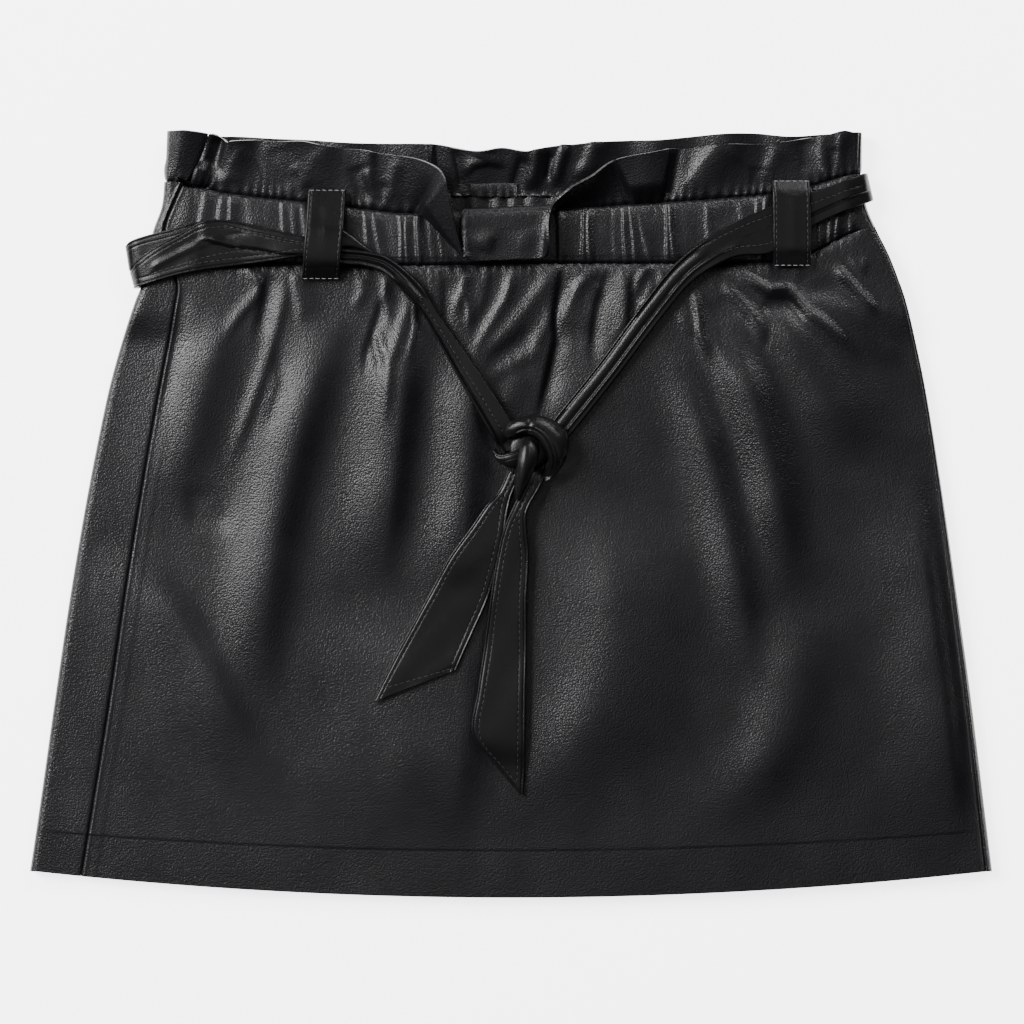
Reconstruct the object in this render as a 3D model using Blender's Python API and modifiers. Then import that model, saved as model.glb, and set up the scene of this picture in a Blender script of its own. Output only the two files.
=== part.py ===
"""A gathered leather mini skirt with a paper-bag waist and a tie belt, lying flat with its front up.

X runs across the skirt, Y from the hem to the waist and Z up off the surface that the skirt lies on.
Tables and functions work in millimetres; add_object turns them into metres.
"""
import math
from collections import namedtuple

import bmesh
import bpy
from mathutils import Vector

MM = 0.001

# ---------------------------------------------------------------------------
# Driving dimensions
# ---------------------------------------------------------------------------
HALF_HEM = 250.0        # half the width along the hem
HEM_Y = -200.0          # lowest point of the hem, at its middle
HEM_BOW = 14.0          # rise of the hem from its middle to its corners
HEM_FOLD_X = 245.0      # how far out the hem's side folds are
WALL = 1.2              # thickness of the cloth
SEAM_GAP = 0.4          # between two sewn pieces
REST_GAP = 0.4          # between a strap and what it lies on
BODY_DEPTH = 7.4        # outside of the back to outside of the front, flat parts
BAND_DEPTH = 8.0        # the same at the waistband
BAND_LIFT = 2.6         # the back waist lies on the belt's back stretch
LIFT_FROM = 86.0        # the back starts to rise here ...
LIFT_TO = 106.0         # ... and is fully raised here
BAND_PUFF = 1.0         # the band swells between its two seams
RIGHT_SEAM_DEG = 62.0   # the right side seam lies in the side fold, this far round
EDGE_FADE = 12.0        # folds flatten over this distance towards the side folds

# Side outline: left fold, left side seam and right fold at heights from hem to waist
Side = namedtuple("Side", "y left seam right")
SIDES = (
    Side(-187.0, -250.5, -223.6, 250.5),
    Side(-150.0, -245.0, -217.5, 246.0),
    Side(-97.0, -237.5, -209.0, 239.5),
    Side(-45.0, -229.8, -201.3, 232.4),
    Side(7.0, -221.0, -193.0, 225.0),
    Side(59.0, -210.6, -184.0, 216.8),
    Side(85.0, -203.8, -179.0, 211.6),
    Side(110.0, -195.5, -174.5, 205.4),
    Side(120.0, -191.5, -173.5, 202.0),
    Side(134.0, -189.0, -173.0, 196.5),
    Side(147.0, -186.0, -172.0, 190.0),
    Side(160.0, -181.5, -170.0, 184.6),
    Side(178.0, -180.0, -168.5, 182.0),
)

# Seams of the waistband across the skirt: lower seam, and the frill's seam on the front and the back
Waist = namedtuple("Waist", "x lower front back")
WAIST = (
    Waist(-191.0, 133.0, 173.0, 173.0),
    Waist(-168.0, 130.5, 171.0, 171.0),
    Waist(-150.0, 129.5, 166.5, 169.0),
    Waist(-111.0, 129.0, 162.0, 167.0),
    Waist(-85.0, 129.0, 159.0, 166.0),
    Waist(-50.0, 128.5, 155.5, 165.0),
    Waist(18.0, 129.5, 157.5, 164.6),
    Waist(61.0, 129.5, 160.2, 165.5),
    Waist(127.0, 130.0, 165.0, 168.0),
    Waist(150.0, 132.0, 168.5, 170.0),
    Waist(174.0, 144.0, 175.0, 175.0),
    Waist(198.0, 153.0, 178.0, 178.0),
)

# Long folds of the front: the crest runs through three points, with its height and its two flanks
Fold = namedtuple("Fold", "top_x top_y mid_x mid_y low_x low_y height left right")
FOLDS = (
    Fold(-148, 111, -163, 54, -177, -4, 4.5, 17, 15),
    Fold(-199, -14, -164, -71, -130, -149, 3.0, 24, 10),
    Fold(-87, 116, -118, 12, -133, -118, 5.5, 24, 14),
    Fold(-53, 111, -60, 33, -70, -45, 5.5, 26, 10),
    Fold(-22, 95, -23, 17, -31, -56, 4.0, 20, 11),
    Fold(-26, -40, -26, -108, -37, -180, 4.0, 60, 14),
    Fold(46, 7, 55, -71, 4, -170, 4.5, 34, 40),
    Fold(83, 90, 109, 7, 123, -97, 4.0, 14, 10),
    Fold(104, 111, 135, 22, 141, -56, 5.5, 16, 15),
    Fold(142, -45, 139, -118, 106, -170, 3.5, 20, 18),
    Fold(134, 116, 157, 69, 176, 22, 3.5, 15, 18),
    Fold(156, 119, 180, 95, 202, 73, 2.5, 12, 14),
    Fold(205, 33, 224, -76, 224, -186, 3.0, 30, 14),
)

# Gathers: a ridge crosses the band at x and runs down the body to low_x
Gather = namedtuple("Gather", "x low_x length height")
GATHERS = (
    Gather(-179, -183, 25, 1.6),
    Gather(-167, -171, 24, 1.6),
    Gather(-158, -161, 30, 2.0),
    Gather(-148, -149, 30, 1.8),
    Gather(-137, -139, 30, 2.0),
    Gather(-127, -128, 25, 2.5),
    Gather(-117, -119, 40, 2.8),
    Gather(-106, -110, 40, 2.4),
    Gather(-95, -98, 30, 2.0),
    Gather(-84, -87, 35, 2.5),
    Gather(-74, -78, 45, 2.8),
    Gather(-63, -68, 55, 3.0),
    Gather(-52, -54, 45, 2.8),
    Gather(-40, -38, 45, 2.6),
    Gather(-27, -29, 45, 2.6),
    Gather(-11, -22, 55, 2.6),
    Gather(5, -13, 65, 2.6),
    Gather(21, 12, 75, 3.0),
    Gather(34, 26, 55, 2.8),
    Gather(46, 41, 45, 3.0),
    Gather(59, 57, 40, 2.8),
    Gather(70, 66, 45, 2.8),
    Gather(81, 79, 40, 2.6),
    Gather(93, 95, 40, 2.2),
    Gather(104, 109, 45, 2.4),
    Gather(117, 129, 50, 2.4),
    Gather(132, 150, 50, 2.4),
    Gather(148, 166, 40, 2.2),
    Gather(162, 177, 35, 2.2),
    Gather(174, 191, 35, 2.0),
)
GATHER_WIDTH = 4.4      # a ridge falls away over this distance at the band ...
GATHER_SPREAD = 4.0     # ... and over this much more at its lower end
SEAM_PINCH = 0.35       # share of a gather's height that the seams press out

# The frill along the front: how far its free edge leans in x, its angle off the surface in degrees
# (0 lies flat towards +Y, 90 stands up, 180 is folded forward over the band) and its length
Frill = namedtuple("Frill", "x lean angle length")
FRONT_FRILL = (
    Frill(-181.0, 2.0, 6.0, 26.3),
    Frill(-175.0, 7.0, 18.0, 27.0),
    Frill(-168.5, 15.0, 10.0, 25.0),
    Frill(-161.7, 12.0, 4.0, 24.5),
    Frill(-155.5, 8.0, 15.0, 25.0),
    Frill(-148.2, 5.0, 22.0, 27.0),
    Frill(-137.0, 5.0, 6.0, 28.5),
    Frill(-128.0, 3.0, 2.0, 29.0),
    Frill(-118.0, 1.0, 10.0, 30.0),
    Frill(-109.7, 2.0, 20.0, 31.0),
    Frill(-100.4, 3.0, 13.0, 30.0),
    Frill(-88.9, 1.0, 3.0, 29.5),
    Frill(-80.0, 2.5, 13.0, 30.0),
    Frill(-74.4, 1.0, 21.0, 30.0),
    Frill(-69.2, 1.0, 7.0, 29.0),
    Frill(-62.9, 2.0, 25.0, 30.0),
    Frill(-55.5, 4.0, 16.0, 29.0),
    Frill(-50.0, 8.0, 36.0, 30.0),
    Frill(-45.2, 10.5, 56.0, 31.0),
    Frill(-40.0, 9.5, 78.0, 31.0),
    Frill(-34.8, 6.5, 104.0, 31.0),
    Frill(-29.1, 4.0, 148.0, 31.0),
    Frill(-23.4, 2.0, 180.0, 30.5),
    Frill(-10.0, 0.0, 184.0, 30.5),
    Frill(3.6, 0.0, 184.0, 30.5),
    Frill(15.0, 1.0, 182.0, 30.5),
    Frill(20.3, -0.5, 162.0, 31.0),
    Frill(24.4, -4.0, 122.0, 31.0),
    Frill(29.1, -5.0, 92.0, 31.0),
    Frill(35.9, -3.0, 74.0, 31.0),
    Frill(44.7, -1.0, 60.0, 31.0),
    Frill(52.5, 0.0, 50.0, 31.0),
    Frill(60.8, 2.0, 37.0, 30.0),
    Frill(69.7, 4.0, 26.0, 28.5),
    Frill(78.5, 5.0, 8.0, 27.5),
    Frill(88.0, 4.0, 3.0, 27.0),
    Frill(98.3, 6.0, 20.0, 28.0),
    Frill(109.7, 6.0, 22.0, 28.0),
    Frill(120.0, 4.0, 7.0, 26.5),
    Frill(127.5, 3.0, 3.0, 26.0),
    Frill(135.0, 1.0, 13.0, 26.0),
    Frill(143.0, 0.0, 8.0, 25.5),
    Frill(153.0, 0.0, 3.0, 25.0),
    Frill(163.0, 1.0, 15.0, 24.0),
    Frill(171.0, 1.0, 18.0, 24.0),
    Frill(178.0, 0.0, 8.0, 21.7),
)

# The frill along the back; here the angle is the rise off the surface towards the front
BACK_FRILL = (
    Frill(-177.0, 1.0, 3.0, 26.5),
    Frill(-160.0, 1.0, 8.0, 27.0),
    Frill(-142.0, 1.0, 2.0, 28.0),
    Frill(-124.0, 1.0, 9.0, 28.0),
    Frill(-104.0, 0.0, 2.0, 28.0),
    Frill(-86.0, 0.0, 8.0, 27.5),
    Frill(-68.0, 0.0, 3.0, 27.5),
    Frill(-50.0, 0.0, 9.0, 28.0),
    Frill(-38.0, 0.0, 16.0, 28.5),
    Frill(-28.0, -1.0, 32.0, 29.5),
    Frill(-17.0, 0.0, 41.0, 30.5),
    Frill(-5.0, 0.0, 33.0, 30.0),
    Frill(8.0, 0.0, 41.0, 30.5),
    Frill(20.0, 0.0, 31.0, 30.0),
    Frill(32.0, 0.0, 26.0, 30.0),
    Frill(46.0, 0.0, 12.0, 29.0),
    Frill(60.0, 1.0, 4.0, 29.0),
    Frill(76.0, 1.0, 9.0, 29.0),
    Frill(94.0, 1.0, 3.0, 30.0),
    Frill(112.0, 1.0, 8.0, 31.0),
    Frill(128.0, 1.0, 3.0, 30.0),
    Frill(144.0, 0.0, 7.0, 27.5),
    Frill(160.0, 0.0, 2.0, 25.5),
    Frill(178.0, 0.0, 3.0, 21.7),
)
FRILL_TURN = 0.3        # the frill reaches its angle over this share of its length

# Belt stretches: the strap's lower and upper edge at each station, its thickness, and the height of
# its middle plane; where that is None the strap lies on the cloth beneath it, raised by extra
Strap = namedtuple("Strap", "lower_x lower_y upper_x upper_y thick z extra")
BELT_THICK = 2.0
FOLDED_THICK = 3.6      # where the strap is folded lengthwise
BELT_FLOOR_Z = 1.0
KNOT_BED_Z = 11.6       # middle height of the four straps where they run in under the knot

BELT_LEFT_TURN = (
    Strap(-96.8, 131.0, -96.8, 139.6, FOLDED_THICK, None, 0.0),
    Strap(-108.7, 132.4, -108.7, 143.8, FOLDED_THICK, None, 0.0),
    Strap(-119.0, 131.0, -119.0, 146.0, 3.0, None, 0.0),
    Strap(-129.0, 129.6, -130.5, 148.6, 2.4, None, 0.0),
    Strap(-142.0, 128.0, -146.6, 151.8, BELT_THICK, None, 0.0),
    Strap(-159.0, 125.8, -160.0, 151.8, BELT_THICK, None, 0.0),
    Strap(-173.0, 123.0, -171.5, 148.6, BELT_THICK, None, 0.0),
    Strap(-185.0, 119.6, -184.0, 145.2, BELT_THICK, 14.2, 0.0),
    Strap(-192.5, 117.4, -194.6, 141.2, BELT_THICK, 12.0, 0.0),
    Strap(-195.2, 116.6, -198.9, 138.8, BELT_THICK, 6.8, 0.0),
    Strap(-192.5, 117.0, -195.6, 138.4, BELT_THICK, 2.2, 0.0),
    Strap(-185.5, 117.6, -187.5, 139.6, BELT_THICK, BELT_FLOOR_Z, 0.0),
)
BELT_BACK = (
    Strap(-184.9, 117.7, -186.9, 139.7, BELT_THICK, BELT_FLOOR_Z, 0.0),
    Strap(-160.0, 119.0, -162.0, 144.0, BELT_THICK, BELT_FLOOR_Z, 0.0),
    Strap(-100.0, 124.5, -103.0, 151.5, BELT_THICK, BELT_FLOOR_Z, 0.0),
    Strap(0.0, 135.2, -3.0, 162.2, BELT_THICK, BELT_FLOOR_Z, 0.0),
    Strap(100.0, 147.0, 97.0, 171.0, BELT_THICK, BELT_FLOOR_Z, 0.0),
    Strap(150.0, 154.0, 148.0, 173.6, BELT_THICK, BELT_FLOOR_Z, 0.0),
    Strap(174.0, 158.6, 172.4, 175.2, BELT_THICK, BELT_FLOOR_Z, 0.0),
)
BELT_RIGHT_TURN = (
    Strap(174.6, 158.7, 173.0, 175.3, BELT_THICK, BELT_FLOOR_Z, 0.0),
    Strap(183.0, 160.6, 181.6, 176.2, BELT_THICK, 1.8, 0.0),
    Strap(187.4, 162.0, 184.2, 176.4, BELT_THICK, 6.8, 0.0),
    Strap(184.6, 160.6, 182.4, 176.0, BELT_THICK, 12.4, 0.0),
    Strap(176.0, 157.6, 175.0, 173.2, BELT_THICK, 15.4, 0.0),
    Strap(166.5, 153.6, 166.5, 169.8, BELT_THICK, None, 0.0),
    Strap(157.0, 149.0, 157.0, 166.6, BELT_THICK, None, 0.0),
    Strap(145.3, 142.0, 145.3, 163.4, BELT_THICK, None, 0.0),
)
BELT_LEFT_FRONT = (
    Strap(-96.4, 131.0, -96.4, 139.5, FOLDED_THICK, None, 0.0),
    Strap(-87.5, 128.8, -87.5, 137.2, FOLDED_THICK, None, 0.0),
    Strap(-76.0, 127.8, -73.6, 135.4, FOLDED_THICK, None, 0.0),
    Strap(-64.5, 123.2, -62.4, 132.0, FOLDED_THICK, None, 0.0),
    Strap(-53.6, 111.3, -46.8, 118.6, FOLDED_THICK, None, 0.0),
    Strap(-44.2, 100.4, -35.9, 100.8, FOLDED_THICK, None, 0.0),
    Strap(-28.0, 71.0, -17.0, 74.0, FOLDED_THICK, None, 0.0),
    Strap(-12.0, 43.0, -0.5, 49.0, FOLDED_THICK, None, 0.0),
    Strap(-7.0, 34.6, 4.8, 40.6, FOLDED_THICK, KNOT_BED_Z, 0.0),
)
BELT_RIGHT_FRONT = (
    Strap(144.9, 141.8, 144.9, 163.2, BELT_THICK, None, 0.0),
    Strap(133.4, 134.4, 133.4, 158.6, BELT_THICK, None, 0.0),
    Strap(118.0, 133.0, 116.0, 150.6, 2.6, None, 0.0),
    Strap(106.0, 128.0, 100.0, 141.6, FOLDED_THICK, None, 0.0),
    Strap(92.6, 118.6, 84.0, 128.4, FOLDED_THICK, None, 0.0),
    Strap(76.0, 98.6, 66.4, 106.4, FOLDED_THICK, None, 0.0),
    Strap(55.0, 70.6, 45.4, 78.0, FOLDED_THICK, None, 0.0),
    Strap(34.4, 44.6, 24.6, 52.2, FOLDED_THICK, None, 0.0),
    Strap(25.4, 33.4, 15.6, 41.0, FOLDED_THICK, KNOT_BED_Z, 0.0),
)
TAIL_LEFT = (
    Strap(-4.6, 25.6, 3.4, 20.6, FOLDED_THICK, KNOT_BED_Z, 0.0),
    Strap(-12.0, 8.6, -5.6, 2.0, FOLDED_THICK, None, 0.0),
    Strap(-26.6, -18.0, -8.4, -20.0, BELT_THICK, None, 0.0),
    Strap(-42.0, -42.0, -12.4, -52.0, BELT_THICK, None, 0.0),
    Strap(-55.0, -62.0, -20.0, -72.6, BELT_THICK, None, 0.0),
    Strap(-64.0, -81.0, -27.6, -80.6, BELT_THICK, None, 0.0),
    Strap(-71.0, -97.2, -29.6, -81.8, BELT_THICK, None, 0.0),
)
TAIL_RIGHT = (
    Strap(6.2, 21.6, 16.6, 21.6, FOLDED_THICK, KNOT_BED_Z, 0.0),
    Strap(0.6, 3.0, 15.0, 0.6, 2.8, None, 3.4),
    Strap(-4.6, -12.4, 12.4, -14.0, BELT_THICK, None, 3.0),
    Strap(-8.8, -32.6, 9.0, -33.6, BELT_THICK, None, 3.0),
    Strap(-14.0, -62.6, 8.0, -63.6, BELT_THICK, None, 1.4),
    Strap(-18.4, -96.0, 7.4, -100.0, BELT_THICK, None, 0.0),
    Strap(-20.0, -114.4, 6.6, -134.0, BELT_THICK, None, 0.0),
    Strap(-6.4, -131.0, 5.8, -145.6, BELT_THICK, None, 0.0),
)

# Belt loops: the strip's centre line from its upper to its lower end, with the height of its underside
Loop = namedtuple("Loop", "x y z")
LOOP_WIDTH = 19.6
LOOP_THICK = 1.6
LEFT_LOOP = (
    Loop(-95.2, 167.4, 14.6),
    Loop(-95.5, 163.0, 15.6),
    Loop(-96.0, 153.0, 18.0),
    Loop(-96.6, 145.0, 20.0),
    Loop(-97.4, 136.0, 20.0),
    Loop(-97.8, 129.4, 18.8),
    Loop(-98.2, 125.4, 16.0),
    Loop(-98.8, 121.4, 13.2),
)
RIGHT_LOOP = (
    Loop(145.0, 172.0, 14.0),
    Loop(145.1, 166.0, 16.4),
    Loop(145.2, 160.0, 17.0),
    Loop(145.3, 148.0, 17.0),
    Loop(145.4, 138.0, 16.6),
    Loop(145.5, 132.0, 14.8),
    Loop(145.5, 128.0, 13.4),
)

# The knot: a flattened round lump on the ends of the four straps
KNOT_CENTRE = (9.6, 32.0)
KNOT_HALF = (18.0, 15.0, 6.0)
KNOT_TURN_DEG = 24.0

# The bare tab sewn to the inside of the back, above its band
TAB_FROM_X = -20.8
TAB_TO_X = 3.1
TAB_ROWS = (0.05, 0.13, 0.21)
TAB_COLUMNS = 6
TAB_THICK = 0.8
TAB_GAP = 0.5

BODY_ROWS = 16
BAND_ROWS = 4
FRILL_ROWS = 5


# ---------------------------------------------------------------------------
# Curves through the tables
# ---------------------------------------------------------------------------
def smooth_step(value):
    value = min(max(value, 0.0), 1.0)
    return value * value * (3.0 - 2.0 * value)


def blend(start, end, share):
    return start + (end - start) * share


def table_value(table, position, field):
    """Smooth curve through one column of a table, whose first column rises."""
    keys = [row[0] for row in table]
    values = [getattr(row, field) for row in table]
    if position <= keys[0]:
        return values[0]
    if position >= keys[-1]:
        return values[-1]
    index = max(i for i, key in enumerate(keys) if key <= position)

    def slope(i):
        before, after = max(i - 1, 0), min(i + 1, len(keys) - 1)
        return (values[after] - values[before]) / (keys[after] - keys[before])

    span = keys[index + 1] - keys[index]
    t = (position - keys[index]) / span
    start = values[index] * (1 + 2 * t) + slope(index) * span * t
    end = values[index + 1] * (3 - 2 * t) + slope(index + 1) * span * (t - 1)
    return start * (1 - t) ** 2 + end * t * t


# ---------------------------------------------------------------------------
# The tube of the skirt: body up to row 1, waistband from row 1 to row 2
# ---------------------------------------------------------------------------
def ring_y(x, row, side):
    """Height of a row above x; side is the WAIST column of the frill seam."""
    hem = HEM_Y + HEM_BOW * (x / HALF_HEM) ** 2
    lower = table_value(WAIST, x, "lower")
    if row <= 1.0:
        return blend(hem, lower, row)
    return blend(lower, table_value(WAIST, x, side), row - 1.0)


def fold_row_y(x, row):
    """Height of a row at a side fold; the hem runs on from x to where the fold is."""
    further = HEM_BOW * (HEM_FOLD_X ** 2 - x ** 2) / HALF_HEM ** 2
    return ring_y(x, row, "front") + further * max(1.0 - row, 0.0)


def raised(y):
    return smooth_step((y - LIFT_FROM) / (LIFT_TO - LIFT_FROM))


def depth(y):
    return blend(BODY_DEPTH, BAND_DEPTH, raised(y))


def fold_height(fold, x, y):
    """A long fold: its crest is a parabola through three points and fades at both ends."""
    if not fold.low_y < y < fold.top_y:
        return 0.0
    along = (fold.top_y - y) / (fold.top_y - fold.low_y)
    mid = (fold.top_y - fold.mid_y) / (fold.top_y - fold.low_y)
    bend = (fold.mid_x - blend(fold.top_x, fold.low_x, mid)) / (mid * (1.0 - mid))
    crest = blend(fold.top_x, fold.low_x, along) + bend * along * (1.0 - along)
    flank = fold.left if x < crest else fold.right
    fade = smooth_step(along / 0.3) * smooth_step((1.0 - along) / 0.4)
    return fold.height * fade * math.exp(-((x - crest) / flank) ** 2)


def gather_height(gather, x, y):
    lower = table_value(WAIST, gather.x, "lower")
    upper = table_value(WAIST, gather.x, "front")
    below = max(lower - y, 0.0) / gather.length
    if below >= 1.0:
        return 0.0
    crest = blend(gather.x, gather.low_x, below)
    width = GATHER_WIDTH + GATHER_SPREAD * below
    pinch = math.exp(-((y - lower) / 3.0) ** 2) + math.exp(-((y - upper) / 3.0) ** 2)
    fade = 1.0 - smooth_step(below)
    return gather.height * fade * (1.0 - SEAM_PINCH * pinch) * math.exp(-((x - crest) / width) ** 2)


def front_height(x, y):
    """Height of the outside of the front above the surface, body and waistband."""
    left = table_value(SIDES, y, "left")
    right = table_value(SIDES, y, "right")
    deep = depth(y)
    inset = min(x - left, right - x) - deep / 2
    relief = sum(fold_height(fold, x, y) for fold in FOLDS)
    relief += sum(gather_height(gather, x, y) for gather in GATHERS)
    lower = table_value(WAIST, x, "lower")
    upper = table_value(WAIST, x, "front")
    if lower < y < upper:
        relief += BAND_PUFF * math.sin(math.pi * (y - lower) / (upper - lower))
    return BAND_LIFT * raised(y) + deep + relief * smooth_step(inset / EDGE_FADE)


def ring_point(column, row):
    """A point of the tube's outside. A column is a zone of the ring with a place in it:
    ("front", share from the left seam to the right fold), ("wrap", share from the left fold to the
    left seam), ("back", share from the right fold to the left fold), ("right" or "left", degrees)."""
    zone, place = column
    left_y = fold_row_y(-200.0, row)
    right_y = fold_row_y(200.0, row)
    left = table_value(SIDES, left_y, "left")
    seam = table_value(SIDES, left_y, "seam")
    right = table_value(SIDES, right_y, "right")
    if zone in ("left", "right"):
        y = left_y if zone == "left" else right_y
        radius = depth(y) / 2
        centre = left + radius if zone == "left" else right - radius
        angle = math.radians(place)
        z = BAND_LIFT * raised(y) + radius + radius * math.sin(angle)
        return Vector((centre + radius * math.cos(angle), y, z))
    left_end = left + depth(left_y) / 2
    right_end = right - depth(right_y) / 2
    if zone == "back":
        x = blend(right_end, left_end, place)
        y = ring_y(x, row, "back")
        side_y = ring_y(x, row, "front")
        near = smooth_step(min(x - left_end, right_end - x) / EDGE_FADE)
        y = blend(side_y, y, near)
        return Vector((x, y, BAND_LIFT * raised(y)))
    if zone == "wrap":
        x = blend(left_end, seam - SEAM_GAP / 2, place)
    else:
        x = blend(seam + SEAM_GAP / 2, right_end, place)
    y = ring_y(x, row, "front")
    return Vector((x, y, front_height(x, y)))


def outward(column):
    """Direction out of the tube at a column."""
    zone, place = column
    if zone in ("left", "right"):
        return Vector((math.cos(math.radians(place)), 0.0, math.sin(math.radians(place))))
    return Vector((0.0, 0.0, -1.0 if zone == "back" else 1.0))


def frill_point(column, share):
    """A point of the frill's outside, share of the way from its seam to its free edge."""
    base = ring_point(column, 2.0)
    zone, place = column
    if zone in ("left", "right"):
        top = FRONT_FRILL[0 if zone == "left" else -1]
        under = BACK_FRILL[0 if zone == "left" else -1]
        turned = abs(place - 90.0) / 180.0
        lean, length = blend(top.lean, under.lean, turned), blend(top.length, under.length, turned)
        final = blend(top.angle, -under.angle, turned)
    else:
        table = BACK_FRILL if zone == "back" else FRONT_FRILL
        lean, final, length = (table_value(table, base.x, name) for name in ("lean", "angle", "length"))
        final = -final if zone == "back" else final
    steps = 12
    reach, rise = SEAM_GAP, 0.0
    for step in range(steps):
        middle = (step + 0.5) / steps * share
        angle = math.radians(blend(0.35 * final, final, smooth_step(middle / FRILL_TURN)))
        reach += math.cos(angle) * length * share / steps
        rise += math.sin(angle) * length * share / steps
    return base + Vector((lean * share, reach, 0.0)) + outward(column) * rise


# ---------------------------------------------------------------------------
# Making objects
# ---------------------------------------------------------------------------
def clear_scene():
    for item in list(bpy.data.objects):
        bpy.data.objects.remove(item, do_unlink=True)


def make_material(name, colour, roughness):
    material = bpy.data.materials.new(name)
    material.use_nodes = True
    shader = material.node_tree.nodes["Principled BSDF"]
    shader.inputs["Base Color"].default_value = (*colour, 1.0)
    shader.inputs["Roughness"].default_value = roughness
    shader.inputs["Metallic"].default_value = 0.0
    material.diffuse_color = (*colour, 1.0)
    return material


def add_object(name, mesh, collection):
    """Turns a bmesh in millimetres into an object in metres with its own leather."""
    bmesh.ops.scale(mesh, vec=(MM, MM, MM), verts=mesh.verts)
    data = bpy.data.meshes.new(name)
    mesh.to_mesh(data)
    mesh.free()
    data.shade_smooth()
    item = bpy.data.objects.new(name, data)
    item.data.materials.append(make_material(name + "_leather", (0.028, 0.028, 0.031), 0.45))
    collection.objects.link(item)
    return item


def add_sheet(name, surface, columns, rows, collection, wall=WALL):
    """A cloth piece: a grid mapped on to a surface, with its thickness on the inside."""
    mesh = bmesh.new()
    across, up = len(columns) - 1, len(rows) - 1
    bmesh.ops.create_grid(mesh, x_segments=across, y_segments=up, size=1.0)
    for vertex in mesh.verts:
        column = columns[round((vertex.co.x + 1.0) / 2.0 * across)]
        row = rows[round((vertex.co.y + 1.0) / 2.0 * up)]
        vertex.co = surface(column, row)
    item = add_object(name, mesh, collection)
    solidify = item.modifiers.new("cloth", "SOLIDIFY")
    solidify.thickness = wall * MM
    solidify.offset = -1.0
    solidify.use_even_offset = True
    return item


def tab_point(x, share):
    """A point of the tab's hidden face, which lies on the inside of the back frill."""
    left, right = ring_point(("back", 1.0), 2.0).x, ring_point(("back", 0.0), 2.0).x
    column = ("back", (right - x) / (right - left))
    step = 0.01
    along = frill_point(column, share + step) - frill_point(column, share)
    inside = Vector((1.0, 0.0, 0.0)).cross(along).normalized()
    return frill_point(column, share) + inside * (WALL + TAB_GAP + TAB_THICK)


# Corners of a strap's cross-section, as shares of its half width and half thickness
STRAP_RING = ((-1, -0.4), (-0.93, -1), (0.93, -1), (1, -0.4), (1, 0.4), (0.93, 1), (-0.93, 1), (-1, 0.4))


def add_loft(name, sections, collection):
    """A closed body through rings with equally many points."""
    mesh = bmesh.new()
    rings = [[mesh.verts.new(point) for point in section] for section in sections]
    count = len(rings[0])
    for first, second in zip(rings, rings[1:]):
        for i in range(count):
            mesh.faces.new((first[i], first[(i + 1) % count], second[(i + 1) % count], second[i]))
    mesh.faces.new(rings[0])
    mesh.faces.new(rings[-1])
    bmesh.ops.recalc_face_normals(mesh, faces=mesh.faces)
    return add_object(name, mesh, collection)


def resting_z(lower, upper, thick):
    """Middle height of a strap that lies on the front between two edge points."""
    highest = 0.0
    for share in (0.0, 0.25, 0.5, 0.75, 1.0):
        for shift_x in (-6.0, -4.0, -2.0, 0.0, 2.0, 4.0, 6.0):
            for shift_y in (-4.0, 0.0, 4.0):
                x = blend(lower.x, upper.x, share) + shift_x
                y = blend(lower.y, upper.y, share) + shift_y
                highest = max(highest, front_height(x, y))
    return highest + REST_GAP + thick / 2


def strap_sections(stations):
    edges = []
    for station in stations:
        lower = Vector((station.lower_x, station.lower_y, 0.0))
        upper = Vector((station.upper_x, station.upper_y, 0.0))
        z = resting_z(lower, upper, station.thick) if station.z is None else station.z
        lift = Vector((0.0, 0.0, z + station.extra))
        edges.append((lower + lift, upper + lift, station.thick / 2))
    sections = []
    for i, (lower, upper, half) in enumerate(edges):
        before, after = edges[max(i - 1, 0)], edges[min(i + 1, len(edges) - 1)]
        along = (after[0] + after[1]) - (before[0] + before[1])
        side = (upper - lower) / 2
        normal = side.cross(along).normalized() * half
        centre = (lower + upper) / 2
        sections.append([centre + side * across + normal * out for across, out in STRAP_RING])
    return sections


def add_strap(name, stations, collection):
    return add_loft(name, strap_sections(stations), collection)


def add_loop(name, stations, collection):
    half = LOOP_WIDTH / 2
    straps = [Strap(s.x - half, s.y, s.x + half, s.y, LOOP_THICK, s.z + LOOP_THICK / 2, 0.0) for s in stations]
    return add_loft(name, strap_sections(straps), collection)


def add_knot(collection):
    mesh = bmesh.new()
    bmesh.ops.create_uvsphere(mesh, u_segments=20, v_segments=10, radius=1.0)
    z = KNOT_BED_Z + FOLDED_THICK / 2 + REST_GAP + KNOT_HALF[2]
    turn = math.radians(KNOT_TURN_DEG)
    for vertex in mesh.verts:
        out = min(math.hypot(vertex.co.x, vertex.co.y), 1.0)
        if vertex.co.z < 0.0:
            rise = -(1.0 - out ** 8) ** 0.25    # nearly flat below
        else:
            rise = math.sqrt(1.0 - out ** 3)
        x, y = vertex.co.x * KNOT_HALF[0], vertex.co.y * KNOT_HALF[1]
        place = (x * math.cos(turn) - y * math.sin(turn), x * math.sin(turn) + y * math.cos(turn))
        vertex.co = (KNOT_CENTRE[0] + place[0], KNOT_CENTRE[1] + place[1], z + rise * KNOT_HALF[2])
    return add_object("belt_knot", mesh, collection)


# ---------------------------------------------------------------------------
# Columns and rows of the sheets
# ---------------------------------------------------------------------------
def with_middles(values):
    """The values with the middle of each gap added."""
    pairs = zip(values, values[1:])
    return [values[0]] + [v for a, b in pairs for v in ((a + b) / 2, b)]


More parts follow.
